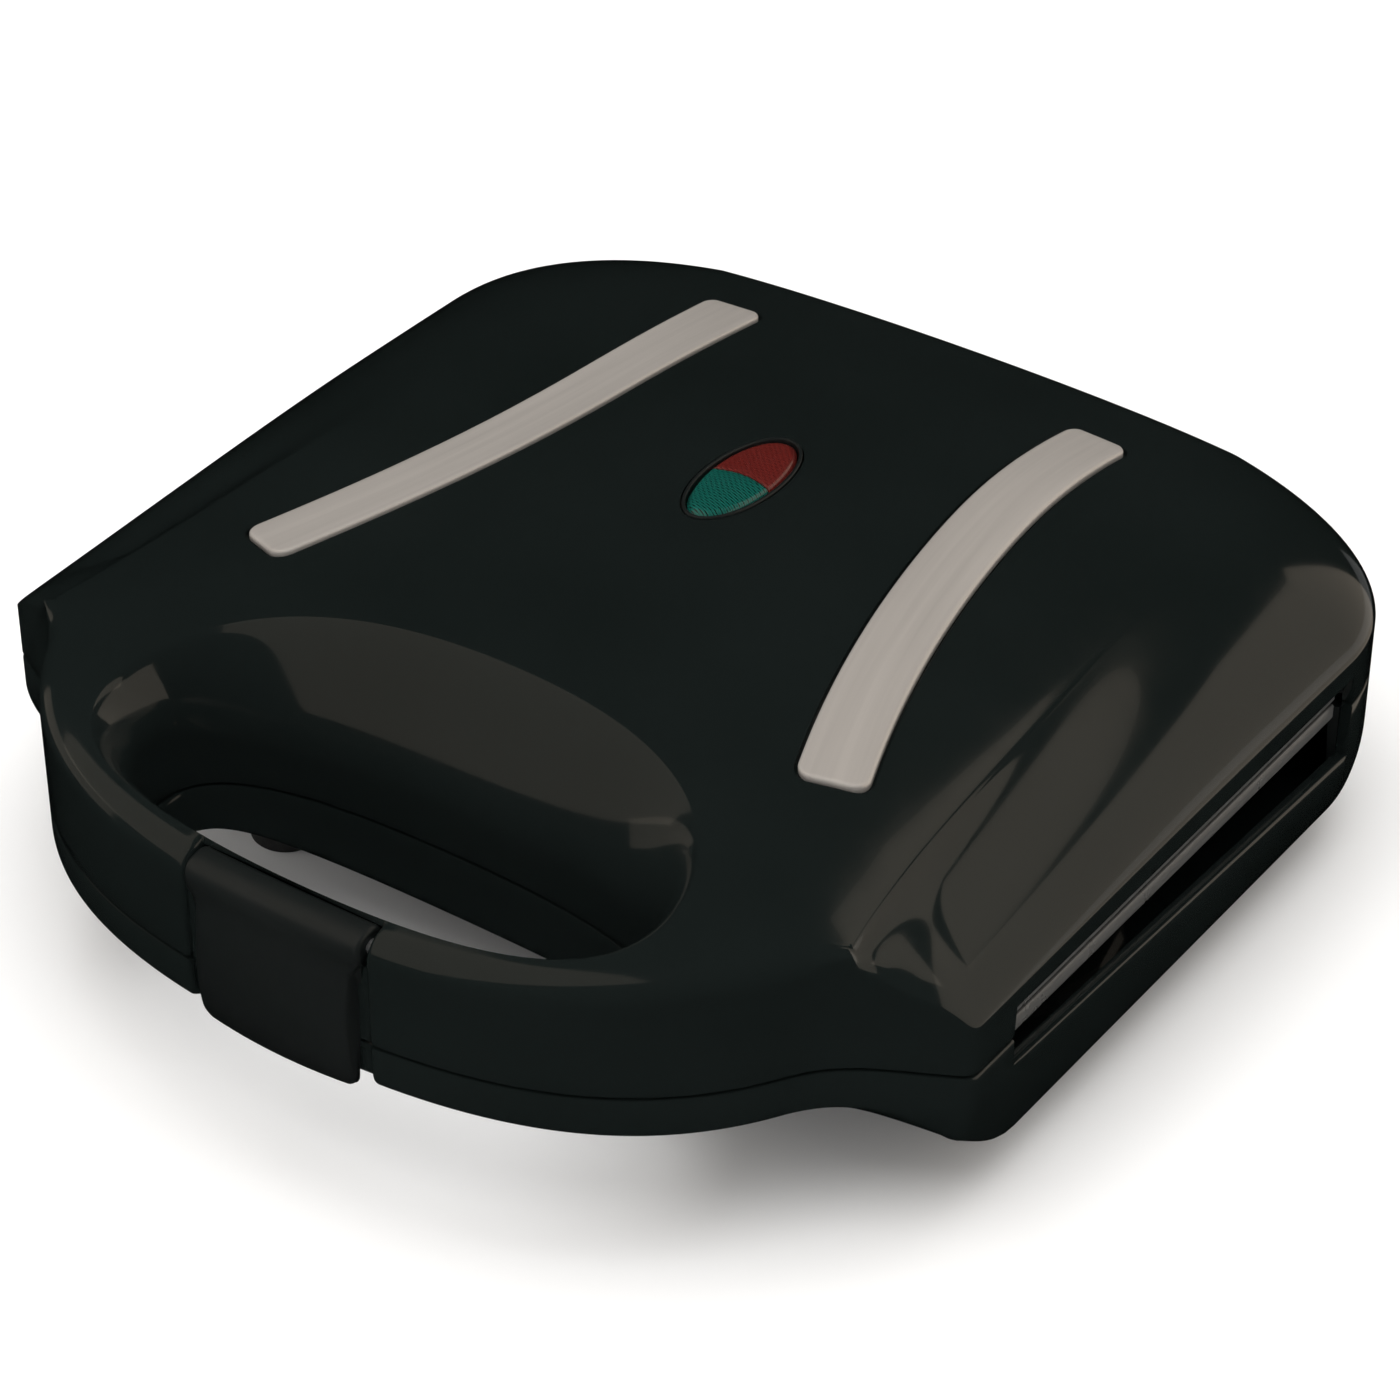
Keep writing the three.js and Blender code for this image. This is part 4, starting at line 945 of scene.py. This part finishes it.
def trim(side, name, node):
    """One trim: the band, lowered at its ends, with a UV map that runs across and along it."""
    stations, rows = band_rows(side, STRIP_FRONT, STRIP_REAR, STRIP_HALF, TRIM_CORNER,
                               trim_section, trim_ends, 90, BORDER)
    ends = on_band(side, stations[[0, -1]], np.zeros(rows.shape[1]), SHEET_MIDDLE)
    points = np.concatenate([ends[:1], rows, ends[1:]])
    faces = grid_faces(len(points), points.shape[1], join_columns=True)
    piece = mesh_object(name, [(points, faces)], sharp=50)
    uv = piece.data.uv_layers.new(name="along")
    corner = np.empty(len(piece.data.loops), np.int32)
    piece.data.loops.foreach_get("vertex_index", corner)
    place = np.empty(len(piece.data.vertices) * 3)
    piece.data.vertices.foreach_get("co", place)
    x, y, _ = place.reshape(-1, 3)[corner].T
    centre_x, centre_y = (STRIP_INNER_X + STRIP_RADIUS) * MM * side, STRIP_MIDDLE_Y * MM
    from_centre = np.hypot(x - centre_x, y - centre_y)
    turn = np.arctan2(centre_y - y, np.abs(x - centre_x))
    uv.data.foreach_set("uv", np.column_stack([from_centre, turn * STRIP_RADIUS * MM]).ravel())
    return fit_piece(piece, "lid", "trim_metal", node)


trim(1, "right_trim", "right_trim_strip")
trim(-1, "left_trim", "left_trim_strip")

# %% [markdown]
# ## Indicator lens
# A domed ellipse in two tinted halves, red behind and green in front, meets along a line that bows
# towards the rear. Each half is ruled between that line and its share of the rim. A dark ring holds it.

# %% Lens and ring
DIVIDER_Y = lens_y - 1.0


def lens_height(x, y):
    """Dome over the ellipse, turned down in a soft border near the rim."""
    out = np.hypot(x / LENS_HALF_X, (y - lens_y) / LENS_HALF_Y)
    return lens_z + LENS_DOME * (1 - 0.55 * out ** 2) - 1.1 * np.clip((out - 0.86) / 0.14, 0, 1) ** 2


def divider(x, rear):
    """The line between the halves, bowed to the rear; the red half starts a hair behind it."""
    return DIVIDER_Y + (0.12 if rear else -0.12) + 1.5 * (1 - (x / LENS_HALF_X) ** 2)


def divider_end(rear):
    """Where the divider meets the rim, found by halving a range of x."""
    low, high = 0.0, LENS_HALF_X
    for _ in range(60):
        x = (low + high) / 2
        inside = (x / LENS_HALF_X) ** 2 + ((divider(x, rear) - lens_y) / LENS_HALF_Y) ** 2 < 1
        low, high = (x, high) if inside else (low, x)
    return low


def lens_half(name, rear, finish, node):
    """Ruled between the divider and the rim; a lowered copy below it and the sides make it a solid."""
    x_end = divider_end(rear)
    angle_end = math.atan2((float(divider(x_end, rear)) - lens_y) / LENS_HALF_Y, x_end / LENS_HALF_X)
    other_end = (math.pi if rear else -math.pi) - angle_end
    angle = np.linspace(angle_end, other_end, 73)
    rim = np.column_stack([LENS_HALF_X * np.cos(angle), lens_y + LENS_HALF_Y * np.sin(angle)])
    line_x = np.linspace(x_end, -x_end, 73)
    line = np.column_stack([line_x, divider(line_x, rear)])
    shares = 1 - (1 - np.linspace(0, 1, 26)) ** 1.5
    plan = np.stack([mix(line, rim, share) for share in shares])
    top = np.dstack([plan, lens_height(plan[..., 0], plan[..., 1])])
    top[0, :, 2] -= 0.25
    low = top.copy()
    low[..., 2] = lens_z - LENS_DEPTH
    count, steps = top.shape[:2]
    faces = grid_faces(count, steps)
    around = np.concatenate([np.arange(steps), np.arange(1, count) * steps + steps - 1,
                             (count - 1) * steps + np.arange(steps - 2, -1, -1),
                             np.arange(count - 2, 0, -1) * steps])
    following = np.roll(around, -1)
    shift = count * steps
    skirt = np.column_stack([following, around, around + shift, following + shift])
    all_faces = np.concatenate([faces, faces[:, ::-1] + shift, skirt])
    points = np.concatenate([top.reshape(-1, 3), low.reshape(-1, 3)])
    return fit_piece(mesh_object(name, [(points, all_faces)], sharp=50), "lid", finish, node)


lens_half("green_half_of_lens", False, "green_lens", "green_indicator_lens")
lens_half("red_half_of_lens", True, "red_lens", "red_indicator_lens")
ring_section = softened([(GAP, lens_z - LENS_DEPTH), (GAP, lens_z - 0.2), (GAP + 0.15, lens_z + 0.3),
                         (GAP + BEZEL - 0.15, lens_z + 0.3), (GAP + BEZEL, lens_z - 0.1),
                         (GAP + BEZEL, lens_z - LENS_DEPTH)], 4)
ring = elliptic_rows(ring_section, 128)
fit_piece(mesh_object("lens_ring", [(ring, grid_faces(*ring.shape[:2], True, True))], sharp=60),
          "lid", "satin_black_plastic", "lens_bezel")

# %% [markdown]
# ## Latch
# The latch is a strap that hangs from a pin in the handle's top. Its section is one closed smooth line: a
# round head, a slight hollow under it, a face that swells in the middle, a foot that curls back. That
# section is carried across the handle; towards the sides the strap lies a little further back, its edges
# are rounded and its lower corners are cut off in an arc.

# %% Latch
LATCH_TOP, LATCH_WAIST, LATCH_EDGE, LATCH_CROWN = 19.6, 18.8, 0.9, 1.6
FOOT_CUT = 4.0          # radius of the arc that takes off each lower corner
latch_foot_z = box_mm("handle_latch")[0][2]
latch_corners = [(latch_axis_y + y, latch_axis_z + z) for y, z in (
    (3.3, -1.2), (3.5, 1.6), (1.9, 3.65), (-0.8, 3.75), (-3.6, 2.9), (-5.1, 0.2), (-5.6, -4.5), (-6.6, -10.5),
    (-7.3, -18), (-7.0, -25.5))] + [(front_y + y, latch_foot_z + z) for y, z in (
    (-1.8, 5.2), (-0.7, 1.3), (0.7, 0), (1.5, 1.5), (0.6, 7), (-0.1, 15), (0.2, 24), (1.6, 31.2), (4.1, 31.2),
    (6.6, 31.6))]
section = np.array(softened(latch_corners, 7, closed=True))


def latch_half(z):
    """Half the strap's width at a height: widest at the head, least at the waist, cut off at the foot."""
    half = LATCH_WAIST + (LATCH_TOP - LATCH_WAIST) * (np.abs(z - 46) / 22) ** 1.6
    below = np.clip(latch_foot_z + FOOT_CUT + 0.2 - z, 0, FOOT_CUT)
    half = mix(half, NOTCH_HALF - 0.7, ease((z - latch_axis_z + 6) / 4))
    return half - (FOOT_CUT - np.sqrt(FOOT_CUT ** 2 - below ** 2))


from_edge = np.array([0, 0.08, 0.25, 0.5, LATCH_EDGE])
middle_shares = np.linspace(-1, 1, 25)[1:-1]
along_section = np.roll(section, -1, axis=0) - np.roll(section, 1, axis=0)
along_section /= np.linalg.norm(along_section, axis=1)[:, None]
outwards = np.column_stack([along_section[:, 1], -along_section[:, 0]])
turn_sign = np.sign(np.sum(np.cross(section, np.roll(section, -1, axis=0))))
latch_rows = []
half_here = latch_half(section[:, 1])
stations = [(-1, d) for d in from_edge] + [(share, LATCH_EDGE) for share in middle_shares]
stations += [(1, d) for d in from_edge[::-1]]
for side, d in stations:
    x = side * (half_here - d)
    depth = LATCH_EDGE - math.sqrt(LATCH_EDGE ** 2 - (LATCH_EDGE - d) ** 2)
    y, z = (section - turn_sign * outwards * depth).T
    y = y + LATCH_CROWN * mix(0.15, 1, ease((latch_axis_z + 2 - z) / 8)) * (x / LATCH_TOP) ** 2
    y = np.where(z < latch_axis_z - 5, np.minimum(y, NOTCH_FLOOR_Y - 0.35), y)
    latch_rows.append(np.column_stack([x, y, z]))
latch = mesh_object("latch_strap", [capped(latch_rows)], sharp=50)
fit_piece(latch, "latch", "satin_black_plastic", "handle_latch")

# %% [markdown]
# ## Hot plates
# A plate is cast with six ring moulds. Around each mould's centre the surface is turned like a ring, and
# only at the cell's border does it turn into a rectangle, so each cell is a polar grid whose last row is
# pulled out to the border. Equal cells share their border points, so the six weld into one casting.

# %% Ring moulds and the two plates
RING_RADIUS, TUBE, CASTING_WALL = 19.0, 11.0, 2.5
PLATE_THICKNESS, LIP = 4.0, 0.6
plate_centre, plate_half = (plate_high[:2] + plate_low[:2]) / 2, (plate_high[:2] - plate_low[:2]) / 2
pitch = plate_half * 2 / (3, 2)
CELL_STEPS = 16


def square_loop(steps_x, steps_y):
    """Points round the square from -1 to 1, with a number of steps along each pair of sides."""
    x, y = (np.linspace(-1, 1, steps, endpoint=False) for steps in (steps_x, steps_y))
    sides_of_square = [(x, -1 + 0 * x), (1 + 0 * y, y), (-x, 1 + 0 * x), (-1 + 0 * y, -y)]
    return np.concatenate([np.column_stack(side) for side in sides_of_square])


square = square_loop(CELL_STEPS, CELL_STEPS)


def ring_profile(tube, level):
    """(radius, depth) over a half ring of a given tube radius, from where it leaves a level to where it
    comes back to it; depth is measured from the cooking face."""
    start = math.asin(level / tube)
    angle = np.linspace(math.pi - start, start, 20)
    return [(RING_RADIUS + tube * math.cos(a), tube * math.sin(a)) for a in angle]


groove = ring_profile(TUBE, 1.3)
cook_side = [(0, 0), (3, 0), (6.3, 0), (7.3, 0.06), (7.85, 0.35), *groove,
             (30.15, 0.35), (30.7, 0.06), (31.5, 0)]
back_side = [(0, 4), (3, 4), (5.2, 4), *ring_profile(TUBE + CASTING_WALL, PLATE_THICKNESS + 0.3)]


def inside_plate(points, inset):
    """Plan points held inside the plate's rectangle, less an inset."""
    return np.clip(points, plate_low[:2] + inset, plate_high[:2] - inset)


def cell(centre, profile, border_depth, face_z, up):
    """Rows of one cell: circles of the profile, then the cell's border at its own depth."""
    direction = square * pitch / 2
    direction = direction / np.linalg.norm(direction, axis=1)[:, None]
    rows = [np.column_stack([centre + radius * direction, np.full(len(square), face_z + up * depth)])
            for radius, depth in profile]
    border = inside_plate(centre + square * pitch / 2, LIP)
    return np.stack([*rows, np.column_stack([border, np.full(len(square), face_z + up * border_depth)])])


def hot_plate(name, face_z, up, body, node):
    """Six cells on the cooking face, six on the back, and a lip round the edge; up is +1 in the lid."""
    points, faces, start = [], [], 0
    loop = plate_centre + square_loop(3 * CELL_STEPS, 2 * CELL_STEPS) * plate_half
    lip = [(LIP, 0), (0.18, 0.18), (0, LIP), (0, PLATE_THICKNESS - LIP), (0.18, PLATE_THICKNESS - 0.18),
           (LIP, PLATE_THICKNESS)]
    skirt = np.stack([np.column_stack([inside_plate(loop, inset), np.full(len(loop), face_z + up * depth)])
                      for inset, depth in lip])
    grids = [(skirt, False)]
    for i in range(3):
        for j in range(2):
            middle = plate_low[:2] + pitch * (i + 0.5, j + 0.5)
            grids += [(cell(middle, cook_side, 0.0, face_z, up), False),
                      (cell(middle, back_side, PLATE_THICKNESS, face_z, up), True)]
    for grid, flip in grids:
        quads = grid_faces(*grid.shape[:2], join_columns=True)
        faces.append((quads[:, ::-1] if flip else quads) + start)
        points.append(grid.reshape(-1, 3))
        start += len(points[-1])
    plate = mesh_object(name, [(np.concatenate(points), np.concatenate(faces))])
    seat = [(r, up * h) for r, h in ((0, -1), (3.5, -1), (3.5, 2.6), (1.9, 2.6), (1.9, 6), (0, 6))]
    cut(plate, [turned(seat, (side * pitch[0] / 2, plate_centre[1], face_z), steps=40) for side in (-1, 1)])
    return fit_piece(plate, body, "nonstick_plate", node)


hot_plate("upper_mould_plate", lid_bottom_z, 1, "lid", "upper_hot_plate")
hot_plate("lower_mould_plate", base_top_z, -1, "base", "lower_hot_plate")

# %% [markdown]
# ## Liners
# Between each hot plate and its casing lies a thin liner, so that an open machine shows no hollow. It is a
# ring from the casing's inner wall, drawn straight across behind the finger hole, to the plate's rectangle:
# each point of the outer loop is carried towards the plate's middle until it meets that rectangle.

# %% Liners of the lid and the base
def liner(name, body, face_z, edge, up):
    """A sheet 1.6 thick that lies 1.5 below the cooking face, and below the casing's own edge."""
    outer = shifted(outline_loop, -WALL - 0.3)
    outer = np.column_stack([outer[:, 0], np.clip(outer[:, 1], plate_low[1] - 13, rear_y - 8)])
    from_centre = outer - plate_centre
    share = np.min((plate_half + 0.4) / np.maximum(np.abs(from_centre), 1e-6), axis=1, keepdims=True)
    inner_loop = plate_centre + from_centre * np.minimum(share, 0.998)
    level = up * np.maximum(up * face_z + 1.5, up * edge + 1.0)
    rows = np.stack([row(outer, level), row(inner_loop, level),
                     row(inner_loop, level + up * 1.6), row(outer, level + up * 1.6)])
    piece = mesh_object(name, [(rows, grid_faces(4, len(values), True, True))])
    return fit_piece(piece, body, "satin_black_plastic")


liner("lid_liner", "lid", lid_bottom_z, lid_edge_z, 1)
liner("base_liner", "base", base_top_z, base_edge_z, -1)

# %% [markdown]
# ## Screws, feet and the cord's bush
# Small turned parts. A screw's cross recess is sunk into its head by a rule on the same polar grid.

# %% Screws
HEAD_RADIUS, SCREW_STEPS = 3.2, 72


def screw(name, body, node, up):
    """A pan-head screw whose box is the node's: a head 2 high, with a cross recess in its face."""
    low, high = box_mm(node)
    x, y, _ = (low + high) / 2
    head_z, length = low[2] if up > 0 else high[2], high[2] - low[2]
    face = [(r, 0.5 * (r / HEAD_RADIUS) ** 2) for r in np.linspace(0, 2.6, 27)]    # a slightly hollow face
    rest = [(2.9, 0.5), (3.1, 0.7), (HEAD_RADIUS, 1.0), (HEAD_RADIUS, 1.9), (1.6, 2.0),
            (1.6, length - 1.5), (0.4, length), (0, length)]
    points, faces = turned([(r, up * h) for r, h in face + rest], (0, 0, 0), steps=SCREW_STEPS)
    px, py = points[:, 0], points[:, 1]
    arm = np.minimum(np.abs(px), np.abs(py))
    sunk = 1.1 * (1 - ease((arm - 0.42) / 0.2)) * (1 - ease((np.hypot(px, py) - 1.7) / 0.3))
    on_face = np.arange(len(points)) < len(face) * SCREW_STEPS
    points[:, 2] += up * sunk * on_face
    piece = mesh_object(name, [(points + (x, y, head_z), faces)])
    return fit_piece(piece, body, "steel", node)


for side in ("left", "right"):
    screw(f"upper_screw_{side}", "lid", f"upper_plate_screw_{side}", 1)
    screw(f"lower_screw_{side}", "base", f"lower_plate_screw_{side}", -1)
CORNERS = ("left_front", "left_rear", "right_front", "right_rear")
for corner in CORNERS:
    screw(f"{corner}_screw", "base", f"{corner}_foot_screw", 1)

# %% Feet and bush
foot_profile = broken([(2.2, 4.5), (4.4, 4.5), (4.4, 0), (7.0, 0), (8, 1.0), (7.7, 5),
                       (7.2, foot_top), (2.2, foot_top)], 0.5)
for corner in CORNERS:
    x, y, _ = middle_mm(corner + "_foot")
    foot = mesh_object(corner + "_rubber_foot", [turned(foot_profile, (x, y, 0), closed=True)])
    fit_piece(foot, "base", "black_rubber", corner + "_foot")

bush_profile = broken([(3.4, -6), (4.6, -6), (4.6, 0.3), (7.1, 0.3), (7.1, 2.0), (5.6, 3.8), (3.4, 3.8)], 0.45)
bush = mesh_object("cord_bush", [turned(bush_profile, (0, gland_y, gland_z), axis=1, closed=True)])
fit_piece(bush, "base", "black_rubber", "cord_gland")

# %% [markdown]
# ## Nodes that stay
# Pins, lamps, heating elements and shields have the right shape already. They keep their meshes and get
# the finish of their slot.

# %% Finishes for the nodes that stay
slots = {part["node"]: part["material_slot"] for part in frame["record"]["subparts"]}
kept = [name for name, node in frame["nodes"].items() if not node.hide_render]
for name in kept:
    materials = frame["nodes"][name].data.materials
    materials.clear()
    materials.append(finishes[slots[name]])
print(len(kept), "nodes kept:", ", ".join(sorted(kept)))

# %% [markdown]
# ## Light, floor and camera
# A glossy black body is drawn by what it mirrors. So the even light that makes the floor pale is hidden
# from mirror reflections, and large soft cards stand where their reflections describe the form: two
# beyond the right rear, drawn as a bright slope with a dark wedge, one above the scoop, and weak low ones
# at the left and the rear. The overhead light and the front fill only brighten the matt surfaces.

# %% Floor
finish_tree, floor_shader = new_finish("pale_floor", Roughness=0.9)
floor_tone = spread(finish_tree, object_noise(finish_tree, 2.0, 2), 0, 1)
finish_tree.links.new(two_colours(finish_tree, floor_tone, (0.86, 0.86, 0.86), (0.88, 0.88, 0.88)),
                      floor_shader.inputs["Base Color"])
bowl = softened([(1, 0), (2200, 0), (3200, 0), (3300, 900), (3300, 2600)], 12)
floor = mesh_object("floor", [turned(bowl, (0, 0, 0), steps=96)])
floor.data.materials.append(finishes["pale_floor"])
floor.data.flip_normals()
floor.visible_glossy = False

# %% Light
world = bpy.data.worlds.new("soft_room")
bpy.context.scene.world = world
world.use_nodes = True
world.node_tree.nodes["Background"].inputs["Color"].default_value = (1, 1, 1, 1)
world.node_tree.nodes["Background"].inputs["Strength"].default_value = 0.75
world.cycles_visibility.glossy = False


def card(name, direction, size, radiance, colour=(1, 1, 1), mirrored=True, distance=1.4, turn=0.0):
    """A soft rectangular light facing the machine from a direction, as bright per area as its radiance.
    turn rotates it about that direction; mirrored says whether gloss shows it."""
    light = bpy.data.lights.new(name, "AREA")
    light.shape = "RECTANGLE"
    light.size, light.size_y = size
    light.energy = radiance * size[0] * size[1]
    light.color = colour
    lamp = bpy.data.objects.new(name, light)
    bpy.context.scene.collection.objects.link(lamp)
    away = Vector(direction).normalized()
    lamp.location = Vector((0, 0, 0.05)) + away * distance
    about = Quaternion((0, 0, 1), math.radians(turn))
    lamp.rotation_euler = (away.to_track_quat("Z", "Y") @ about).to_euler()
    lamp.visible_camera = False
    lamp.visible_glossy = mirrored
    return lamp


WARM = (1.0, 0.86, 0.70)
card("overhead", (0.1, -0.2, 1), (1.6, 1.6), 8.6, mirrored=False, distance=1.6)
card("front_fill", (-0.4, -1, 0.3), (1.8, 0.8), 5.0, mirrored=False, distance=1.7)
card("right_rear_low", (0.72, 0.64, 0.15), (2.3, 1.95), 1.6, WARM, turn=-4)
card("right_rear_high", (0.23, 0.58, 0.82), (1.1, 0.34), 1.6, WARM, turn=7)
card("above_the_scoop", (-0.47, -0.50, 0.74), (2.0, 1.9), 0.9, WARM)
card("left_low", (-1, -0.3, 0.1), (1.0, 0.5), 0.8, WARM)
card("rear_low", (0.5, 1, -0.1), (1.4, 0.4), 0.6)

# %% Camera
AZIMUTH, ELEVATION = math.radians(35.485), math.radians(35.673)
target, distance = np.array([0, 13.69, 32.07]) * MM, 926.97 * MM
back = np.array([math.sin(AZIMUTH) * math.cos(ELEVATION), -math.cos(AZIMUTH) * math.cos(ELEVATION),
                 math.sin(ELEVATION)])
camera_data = bpy.data.cameras.new("camera")
camera_data.lens, camera_data.sensor_width = 111.82, 36
camera = bpy.data.objects.new("camera", camera_data)
bpy.context.scene.collection.objects.link(camera)
camera.location = target + back * distance
camera.rotation_euler = Vector(back).to_track_quat("Z", "Y").to_euler()
bpy.context.scene.camera = camera
bpy.context.scene.view_settings.view_transform = "Standard"
